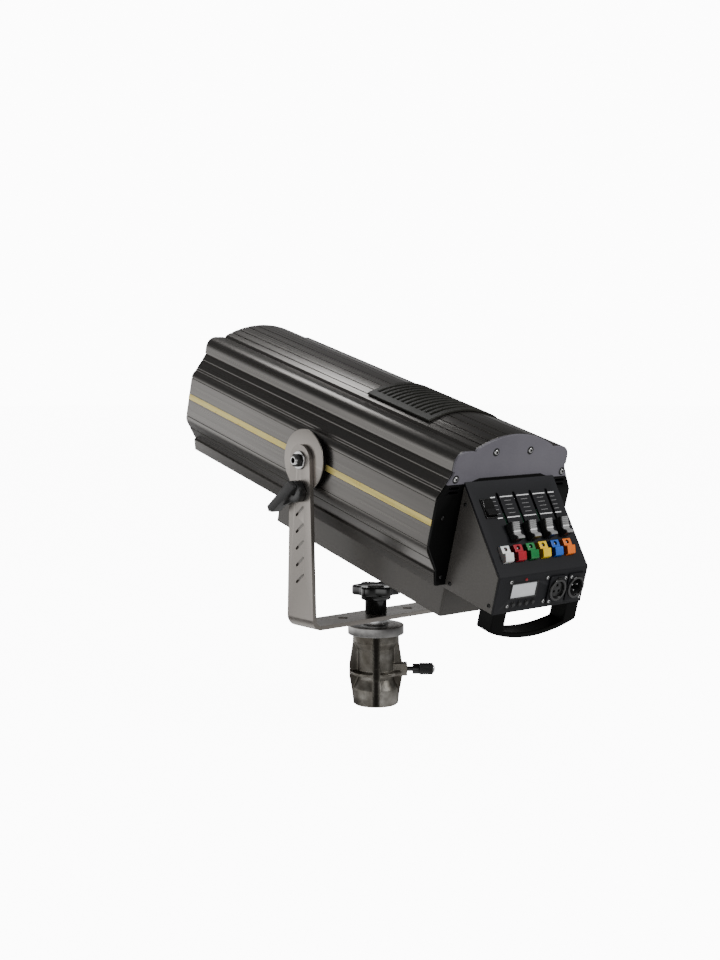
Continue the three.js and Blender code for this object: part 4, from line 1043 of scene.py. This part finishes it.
def stand_lock_screw():
    """Shank with a stepped collar, a knurled grip and a bright domed end."""
    name = "stand_lock_screw"
    shank = lathe("lock_screw_shank", [(0, 17.8), (2.6, 17.8), (3, 18.4), (3, 43.4), (5.8, 43.4),
                                       (6.2, 44), (6.2, 50.6), (5.6, 51.2), (0, 51.2)], LOCK, STAND, 40)
    attach(shank, DARK_STEEL, name, body=name, slot="black_plastic")
    knurl = [(5.4, 51, 0), (6.4, 51.3, 0.3), (6.7, 52.2, 1), (6.7, 66.4, 1), (6.4, 67.2, 0.3),
             (5.6, 67.5, 0)]
    grip = skin("lock_screw_grip", ribbed(knurl, 30, 0.28, 180), LOCK, STAND, sharp=60)
    attach(grip, BLACK_PLASTIC, name, body=name)
    dome = [(5.0 * math.cos(a), 67.4 + 2.5 * math.sin(a)) for a in
            (math.pi / 2 * k / 8 for k in range(9))]
    cap = lathe("lock_screw_cap", [(0, 67.2), (5.0, 67.2)] + dome, LOCK, STAND, 48)
    attach(cap, BRIGHT_STEEL, name, body=name)


yoke()
for side, place in (("right", UP), ("left", turned("Z", 180))):
    pivot_bolt(side, place @ RIGHTWARD)
    wing_knob(side, place)
star_knob()
stand_casting()
pan_washer()
stand_lock_screw()


# ---------------- control box, panel and handle
def slope_place(x, down):
    """A place on the sloped panel, x across it and down it from its top edge."""
    return SLOPE @ moved(x, -down)


def face_place(x, z):
    """A place on the upright rear face."""
    return FACE @ moved(x, z)


def box_side(back):
    """Side outline of the control box, its sloped and upright faces set back; the knee is eased."""
    angle = math.radians(SLOPE_ANGLE)
    top = BOX_TOP - back / math.cos(angle)
    knee = BOX_KNEE - back * math.tan((math.pi / 2 - angle) / 2)
    outline = [(BOX_FRONT, top), (BOX_REAR + back, knee), (BOX_REAR + back, BOX_BOTTOM),
               (BOX_FRONT, BOX_BOTTOM)]
    return fillet(outline, [0, 4 - min(back, 2.5), 0, 0], 6)


def control_box():
    body = slab("control_box", [box_side(SHEET + GAP)], -BOX_HALF, BOX_HALF, RIGHTWARD, bevel=0.9)
    inner = BOX_HALF - BOX_WALL
    room = [(BOX_FRONT + 1, BOX_TOP + 2), (BOX_REAR - 5, BOX_TOP + 2),
            (BOX_REAR - 5, BOX_BOTTOM + BOX_WALL), (BOX_FRONT + 1, BOX_BOTTOM + BOX_WALL)]
    combine(body, [cutter(room, -inner, inner, RIGHTWARD)])
    level_shading(body)
    attach(body, TAUPE_PAINT, "control_box")
    for side, x, turn in (("right", BOX_HALF, RIGHTWARD), ("left", -BOX_HALF, LEFTWARD)):
        seats = [moved(x, y, z) @ turn for y, z in ((-219, 22), (-219, -66), (-278, -66))]
        screws(f"box_screw_{side}", seats, 2.2, 1.1, DARK_STEEL)


def control_panel():
    outer = box_side(0)[:-1]
    inner = box_side(SHEET)[:-1]
    sheet = slab("control_panel", [outer + inner[::-1]], -BOX_HALF, BOX_HALF, RIGHTWARD)
    low = FADER_PARK - FADER_TRAVEL - 4.5
    high = FADER_PARK + 4.5
    slot = fillet(box_outline(1.7, (high - low) / 2), 1.6, 5)
    key = box_outline(KEY_SIZE[0] / 2 + GAP, KEY_SIZE[1] / 2 + GAP, 1.0)
    rocker = box_outline(ROCKER_SIZE[0] / 2 + GAP, ROCKER_SIZE[1] / 2 + 0.9, 0.8)
    screen = box_outline(DISPLAY_SIZE[0] / 2 + GAP, DISPLAY_SIZE[1] / 2 + GAP, 0.6)
    openings = [*((slot, slope_place(x, (low + high) / 2)) for x in FADER_X),
                *((key, slope_place(x, KEY_DOWN)) for x in KEY_X),
                (rocker, slope_place(ROCKER_X, ROCKER_DOWN)),
                *((circle(2.7, 32), face_place(x, MENU_Z)) for x in MENU_X),
                (screen, face_place(*DISPLAY_AT)),
                *((circle(11.7, 64), face_place(x, XLR_Z)) for x in XLR_X)]
    combine(sheet, [join([cutter(outline, place=place) for outline, place in openings])])
    soften(sheet, 0.35, 2, 45)
    attach(sheet, PANEL_BLACK, "control_panel")


def print_bar(width, height, place):
    """One bar of panel printing, as thick as its ink."""
    return slab("print", [box_outline(width / 2, height / 2)], 0.01, 0.07, place)


def panel_printing():
    """Scales beside the fader slots: bold end marks and fine steps between them."""
    bold = []
    fine = []
    spans = [(-35.5, 7), *[((a + b) / 2 - 0.5, 18.5) for a, b in zip(FADER_X, FADER_X[1:])], (52.9, 9.2)]
    for x, width in spans:
        bold.append(print_bar(width, 1.1, slope_place(x, 19.6)))
        bold.append(print_bar(width, 1.1, slope_place(x, 43)))
        for i in range(4):
            fine.append(print_bar(min(width * 0.8, 10), 0.6, slope_place(x, 24.2 + i * 4.67)))
    attach(named(join(bold), "fader_scale_ends"), WHITE_PRINT)
    attach(named(join(fine), "fader_scale_steps"), GREY_PRINT)


def sagging(half, corner, lowest, steps):
    """Shallow arc through both corners and the lowest point."""
    sag = corner - lowest
    radius = (half * half + sag * sag) / (2 * sag)
    spread = math.degrees(math.asin(half / radius))
    return arc(0, lowest + radius, radius, 270 - spread, 270 + spread, steps)


def rear_handle():
    top = BOX_BOTTOM - GAP
    outer = [(-65, top), *sagging(65, -93.6, -106, 32), (65, top)]
    grip = [(45.5, top), *sagging(45.5, -94.3, -99.8, 24)[::-1], (-45.5, top)]
    loop = outer + grip
    radius = [0] * len(loop)
    radius[1] = radius[len(outer) - 2] = 5
    radius[len(outer) + 1] = radius[-2] = 3
    rear = -BOX_REAR
    body = slab("rear_handle", [fillet(loop, radius, 5)], rear - 21, rear, REARWARD, bevel=1.3, steps=4)
    level_shading(body)
    attach(body, HANDLE_BLACK, "rear_handle")


# ---------------- controls
def fader(i):
    """Black sliding cap with a ridged grey face, the grey a painted highlight of the light on its ridges,
    and a white pointer line, on a blade in the slot.
    """
    name = f"fader_{i + 1}"
    place = slope_place(FADER_X[i], FADER_PARK) @ RIGHTWARD
    side = [(-10, 0.8), (10, 0.8), (10, 9.4), (9, 10.8), (1, 8.2), (-1.4, 7.4), (-4.2, 7.7), (-6.6, 10.6),
            (-8.2, 11.4), (-9.6, 10.8), (-10, 9.4)]
    cap = slab(name, [side], -5.5, 5.5, place, bevel=0.6, sharp=40)
    level_shading(cap)
    attach(cap, BLACK_PLASTIC, name, body=name, slot="grey_plastic")
    ridges = []
    for k in range(5):
        y = 8.8 - k * 1.9
        top = 11.9 - k * 0.62
        ridges += [(y, top - 0.7), (y - 0.4, top), (y - 1.2, top - 0.1), (y - 1.5, top - 1.0)]
    face = [(9.2, 9.6), *ridges, (-1.4, 8.1), (-4.2, 8.3), (-6.4, 11.2), (-8.2, 12), (-9.6, 11.3),
            (-9.6, 10.2), (-7.5, 10.0), (-4.6, 7.0), (-1.4, 6.6)]
    # painted highlight: the grey inlay stands in for the light reflected off the black cap's ridges
    highlight_inlay = slab(f"fader_highlight_face_{i + 1}", [face], -4.7, 4.7, place, bevel=0.25, steps=2, sharp=40)
    level_shading(highlight_inlay)
    attach(highlight_inlay, GREY_HIGHLIGHT_PLASTIC, name, body=name)
    line = slab(f"fader_line_{i + 1}", [[(-1.4, 7.7), (-0.2, 7.7), (-0.2, 8.9), (-1.4, 8.9)]], -4.8, 4.8,
                place, bevel=0.15)
    attach(line, WHITE_PRINT, body=name, slot="grey_plastic")
    stem = slab(f"fader_stem_{i + 1}", [box_outline(1.2, 3.5, 0.4)], -12, 1.2,
                slope_place(FADER_X[i], FADER_PARK), bevel=0.2)
    attach(stem, DARK_STEEL, name, body=name)


def colour_key(i, colour):
    """Stepped push key; its flat upper half carries a small dark lamp."""
    name = f"colour_key_{colour}"
    place = slope_place(KEY_X[i], KEY_DOWN) @ RIGHTWARD
    half = KEY_SIZE[1] / 2
    side = [(-half, -6), (half, -6), (half, 4.2), (0.6, 4.2), (-0.4, 7.8), (1 - half, 5), (-half, 4)]
    wide = KEY_SIZE[0] / 2 - 0.6
    cap = slab(name, [fillet(side, [0, 0, 0.5, 0.6, 1.0, 0.8, 0.5], 4)], -wide, wide, place, bevel=0.6)
    seat = slope_place(KEY_X[i], KEY_DOWN) @ moved(0, 5, 0)
    combine(cap, [cutter(circle(2.4, 24), 2.6, 6, seat)], sharp=40)
    level_shading(cap)
    attach(cap, KEY_PLASTIC[colour], name, body=name)
    lamp = lathe(f"key_lamp_{colour}", [(0, 2.3), (2.2, 2.3), (2.2, 2.8), (1.5, 3.3), (0, 3.5)], seat,
                 segments=24)
    attach(lamp, GLOSS_BLACK, body=name)


def lamp_rocker():
    tilt = slope_place(ROCKER_X, ROCKER_DOWN) @ turned("X", -ROCKER_SWING)
    half = ROCKER_SIZE[1] / 2
    side = fillet([(-half, -4), (half, -4), (half, 4), (0, 1.6), (-half, 4)], [0, 0, 0.7, 6, 0.7], 5)
    body = slab("lamp_rocker", [side], -ROCKER_SIZE[0] / 2, ROCKER_SIZE[0] / 2, tilt @ RIGHTWARD,
                bevel=0.6)
    level_shading(body)
    attach(body, GLOSS_BLACK, "lamp_rocker", body="lamp_rocker")
    dash = slab("lamp_rocker_mark", [box_outline(0.5, 2.2, 0.2)], 2.55, 2.75,
                tilt @ moved(0, 5.2, 0) @ turned("X", 14))
    attach(dash, WHITE_PRINT, body="lamp_rocker", slot="black_plastic")
    outer = box_outline(ROCKER_SIZE[0] / 2 + 1.3, ROCKER_SIZE[1] / 2 + 2.2, 1.0)
    inner = box_outline(ROCKER_SIZE[0] / 2 + 0.4, ROCKER_SIZE[1] / 2 + 1.0, 0.6)
    bezel = slab("lamp_rocker_bezel", [outer, inner], 0.05, 1.5, slope_place(ROCKER_X, ROCKER_DOWN),
                 bevel=0.5)
    attach(bezel, BLACK_PLASTIC)


def menu_button(i):
    name = f"menu_button_{i + 1}"
    profile = [(0, -6), (2.4, -6), (2.4, 0.7), (2.1, 1.2), (1.5, 1.4), (0, 1.25)]
    place = face_place(MENU_X[i], MENU_Z)
    attach(lathe(name, profile, place, segments=40), BLACK_PLASTIC, name, body=name)
    attach(ring(f"menu_collar_{i + 1}", 2.75, 3.5, 0.02, 0.45, 0.12, place, segments=40), DARK_STEEL)


def display():
    """Screen window, whose mesh stays at its own origin so that its dots line up, and its frame."""
    place = face_place(*DISPLAY_AT)
    half = (DISPLAY_SIZE[0] / 2, DISPLAY_SIZE[1] / 2)
    window = slab("display_window", [box_outline(*half, 0.5)], -7, -0.5, bevel=0.2)
    spot = place.copy()
    spot.translation *= MM
    window.matrix_world = HEAD @ spot
    attach(window, SCREEN, "display_unit")
    frame_ring = slab("display_bezel", [box_outline(half[0] + 1.1, half[1] + 1.1, 0.9),
                                        box_outline(half[0] - 0.1, half[1] - 0.1, 0.4)],
                      -0.35, 0.5, place, bevel=0.2)
    attach(frame_ring, BLACK_PLASTIC)
    lamp = lathe("status_lamp", [(0, 0.02), (1.6, 0.02), (1.6, 0.5), (1.1, 1.2), (0, 1.5)],
                 face_place(-27.2, -38.3), segments=32)
    attach(lamp, RED_LAMP)
    for i, (x, z) in enumerate(((-48.6, -39), (5.8, -39.8), (-48, -65.5), (6, -66))):
        cup_screw(f"display_screw_{i + 1}", face_place(x, z), 2.0)


def xlr_shell(name, x, screw_z):
    """Screwed flange, rolled lip and barrel of a round panel connector; returns its place."""
    place = face_place(x, XLR_Z)
    flange = slab(name, [box_outline(13, 15.5, 3.2), circle(9.6, 64)], GAP, 2.2, place, bevel=0.5)
    attach(flange, PANEL_BLACK, name, slot="black_plastic")
    attach(ring(name + "_lip", 9.3, 12.2, 1.8, 3.8, 0.6, place, segments=72), GLOSS_BLACK, name)
    attach(ring(name + "_barrel", 9.4, 11.4, -14, 1.9, 0.3, place), BLACK_PLASTIC, name)
    screws(name + "_screw", [place @ moved(s * 9.6, s * screw_z, 2.2) for s in (-1, 1)], 1.9, 0.9)
    return place


def xlr_female():
    name = "xlr_female"
    place = xlr_shell(name, XLR_X[0], 12.2)
    holes = [circle(1.6, 20, (XLR_PIN_CIRCLE * math.cos(a), XLR_PIN_CIRCLE * math.sin(a)))
             for a in (math.radians(d) for d in (-30, 90, 210))]
    insert = slab(name + "_insert", [circle(8.6, 56)] + holes, -13, 1.4, place, bevel=0.35)
    attach(insert, BLACK_PLASTIC, name)
    contacts = lathe(name + "_contacts", [(0, -13), (8, -13), (8, -9), (0, -9)], place)
    attach(contacts, GOLD_STRIP, name)
    latch = slab(name + "_latch", [box_outline(2.6, 1.6, 0.6, (0, 12.2))], 2.0, 3.3, place, bevel=0.4)
    attach(latch, DARK_STEEL, name)


def xlr_male():
    name = "xlr_male"
    place = xlr_shell(name, XLR_X[1], -12.2)
    back = lathe(name + "_floor", [(0, -14), (9.2, -14), (9.2, -9.5), (0, -9.5)], place)
    attach(back, BLACK_PLASTIC, name)
    spots = [place @ turned("Z", degrees) @ moved(XLR_PIN_CIRCLE) for degrees in (30, 150, 270)]
    pin = [(0, -10), (1.2, -10), (1.2, 0), (0.8, 0.8), (0, 1)]
    pins = join([lathe("pin", pin, spot, segments=20) for spot in spots])
    attach(named(pins, name + "_pins"), BRIGHT_STEEL, name)


def power_inlet():
    name = "power_inlet"
    place = moved(TRAY_HALF + GAP, -150, -90) @ RIGHTWARD
    mouth = fillet([(-11.5, -8), (11.5, -8), (11.5, 3.5), (7, 8), (-7, 8), (-11.5, 3.5)], 1.5, 4)
    block = box_outline(13.5, 9.9, 1.5)
    flange = slab(name, [fillet(box_outline(24, 11.5), 4, 6), mouth], 0, 2.0, place, bevel=0.6)
    well = slab(name + "_well", [block, mouth], -14, 0.6, place)
    back = slab(name + "_back", [block], -18, -14.05, place, bevel=0.4)
    for piece in (flange, well, back):
        attach(piece, BLACK_PLASTIC, name)
    blades = join([slab("blade", [box_outline(0.8, 2, 0.3, centre)], -15, -2, place, bevel=0.3)
                   for centre in ((-7, -2), (0, 2), (7, -2))])
    attach(named(blades, name + "_blades"), BRIGHT_STEEL, name)
    screws(name + "_screw", [place @ moved(y, 0, 2.0) for y in (-19.5, 19.5)], 2.2, 1.0)


control_box()
control_panel()
panel_printing()
rear_handle()
for i in range(4):
    fader(i)
    menu_button(i)
for i, colour in enumerate(KEY_PLASTIC):
    colour_key(i, colour)
lamp_rocker()
display()
xlr_female()
xlr_male()
power_inlet()


# ---------------- CAD nodes that stay, inside the casing
CARRIED = {
    "pan_stud": BRIGHT_STEEL,
    "fan_frame": BLACK_PLASTIC,
    "fan_rotor": BLACK_PLASTIC,
    "heatsink": PLAIN_ALUMINIUM,
    "led_module": LED_PHOSPHOR,
    "colour_wheel": PLAIN_ALUMINIUM,
    "wheel_motor": BLACK_PLASTIC,
    "gate_plate": PLAIN_ALUMINIUM,
    "iris_unit": BLACK_PLASTIC,
    "guide_rod_right": BRIGHT_STEEL,
    "guide_rod_left": BRIGHT_STEEL,
    "lens_carriage": PLAIN_ALUMINIUM,
    "power_supply": PLAIN_ALUMINIUM,
    "control_board": CIRCUIT_GREEN,
}


def carry(name, material):
    """Gives a CAD node its material, smooth round faces and small bevels."""
    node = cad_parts[name]
    node.data.materials.clear()
    node.data.materials.append(material)
    weld = node.modifiers.new("weld", "WELD")
    weld.merge_threshold = 0.01 * MM
    soften(node, 0.3, 2, 50)


for name, material in CARRIED.items():
    carry(name, material)


# ---------------- floor, light and camera
# brightness of the reflected room by height: 0 straight down, 0.5 the horizon, 1 straight up
FRONT_WALL = [(0.0, 0.5), (0.18, 0.7), (0.25, 0.12), (0.38, 0.06), (0.44, 0.9), (0.5, 1.0),
              (0.55, 0.6), (0.63, 0.09), (1.0, 0.03)]
REAR_WALL = [(0.0, 0.05), (0.2, 0.3), (0.3, 0.4), (0.4, 0.2), (0.5, 0.08), (0.63, 0.05), (1.0, 0.03)]


def floor():
    bpy.ops.mesh.primitive_plane_add(size=17, location=(0, 0, -0.0005))
    plane = bpy.context.object
    plane.name = "floor"
    n = Nodes("floor")
    soft = n.noise(2.5, 3)
    colour = n.ramp(soft, [(0.3, grey(0.84)), (0.7, grey(0.88))])
    n.shader.inputs["Emission Color"].default_value = (1, 1, 1, 1)
    plane.data.materials.append(n.finish(colour, n.between(soft, 0.75, 0.85), Emission_Strength=11.0))
    plane.visible_glossy = False
    plane.visible_diffuse = False


def dome(name, radius):
    """Large sphere round the set, which gives light but casts no shadow."""
    bpy.ops.mesh.primitive_uv_sphere_add(segments=64, ring_count=32, radius=radius)
    shell = bpy.context.object
    shell.name = name
    shell.data.shade_smooth()
    shell.visible_diffuse = False
    shell.visible_shadow = False
    shell.visible_volume_scatter = False
    return shell


def glowing(n, colour, strength):
    """Black surface that only sends out light."""
    n.feed(n.shader.inputs["Emission Color"], colour)
    n.shader.inputs["Emission Strength"].default_value = strength
    n.shader.inputs["Specular IOR Level"].default_value = 0
    return n.finish((0, 0, 0, 1), 1.0)


def white_sweep():
    """Backdrop seen by the camera and through the glass only."""
    sweep = dome("sweep", 9)
    sweep.visible_glossy = False
    sweep.data.materials.append(glowing(Nodes("sweep_light"), (1, 1, 1, 1), 12.0))


def reflected_room():
    """What the gloss reflects: a bright band at the horizon in front, dark above and to the rear."""
    room = dome("room", 8)
    room.visible_camera = False
    room.visible_transmission = False
    n = Nodes("room_light")
    unit = n.add("VectorMath", {0: n.place}, operation="NORMALIZE").outputs["Vector"]
    height = n.add("SeparateXYZ", {"Vector": unit}).outputs["Z"]
    level = n.between(height, 0.0, 1.0, -1.0, 1.0)
    towards = n.add("VectorMath", {0: unit, 1: (-0.64, 0.77, 0.0)}, operation="DOT_PRODUCT")
    front = n.ramp(level, [(at, grey(value)) for at, value in FRONT_WALL])
    rear = n.ramp(level, [(at, grey(value)) for at, value in REAR_WALL])
    turn = n.between(towards.outputs["Value"], 0.0, 1.0, -0.75, 0.0)
    room.data.materials.append(glowing(n, n.mix(turn, rear, front), 1.9))


def soft_box(name, place, width, height, power):
    """Area light that looks at the middle of the object."""
    light = bpy.data.lights.new(name, "AREA")
    light.shape = "RECTANGLE"
    light.size = width
    light.size_y = height
    light.energy = power
    holder = bpy.data.objects.new(name, light)
    scene.collection.objects.link(holder)
    holder.location = place
    towards = Vector((0, 0, 0.3)) - Vector(place)
    holder.rotation_euler = towards.to_track_quat("-Z", "Y").to_euler()
    holder.visible_camera = False


def camera():
    data = bpy.data.cameras.new("camera")
    data.sensor_width = 36
    data.lens = 55.1
    holder = bpy.data.objects.new("camera", data)
    scene.collection.objects.link(holder)
    azimuth = math.radians(40.28)
    elevation = math.radians(5.21)
    aim = Vector((-0.0245, 0, 0.2662))
    look = Vector((math.sin(azimuth) * math.cos(elevation),
                   math.cos(azimuth) * math.cos(elevation), -math.sin(elevation)))
    holder.location = aim - look * 1.6993
    holder.rotation_euler = look.to_track_quat("-Z", "Y").to_euler()
    scene.camera = holder


floor()
white_sweep()
reflected_room()
world = bpy.data.worlds.new("studio")
scene.world = world
world.use_nodes = True
world.node_tree.nodes["Background"].inputs["Color"].default_value = (1, 1, 1, 1)
world.node_tree.nodes["Background"].inputs["Strength"].default_value = 0.55
soft_box("top_box", (0.15, 0.75, 1.5), 0.7, 0.4, 6)
soft_box("key_box", (0.6, -1.9, 1.3), 1.0, 0.8, 30)
camera()
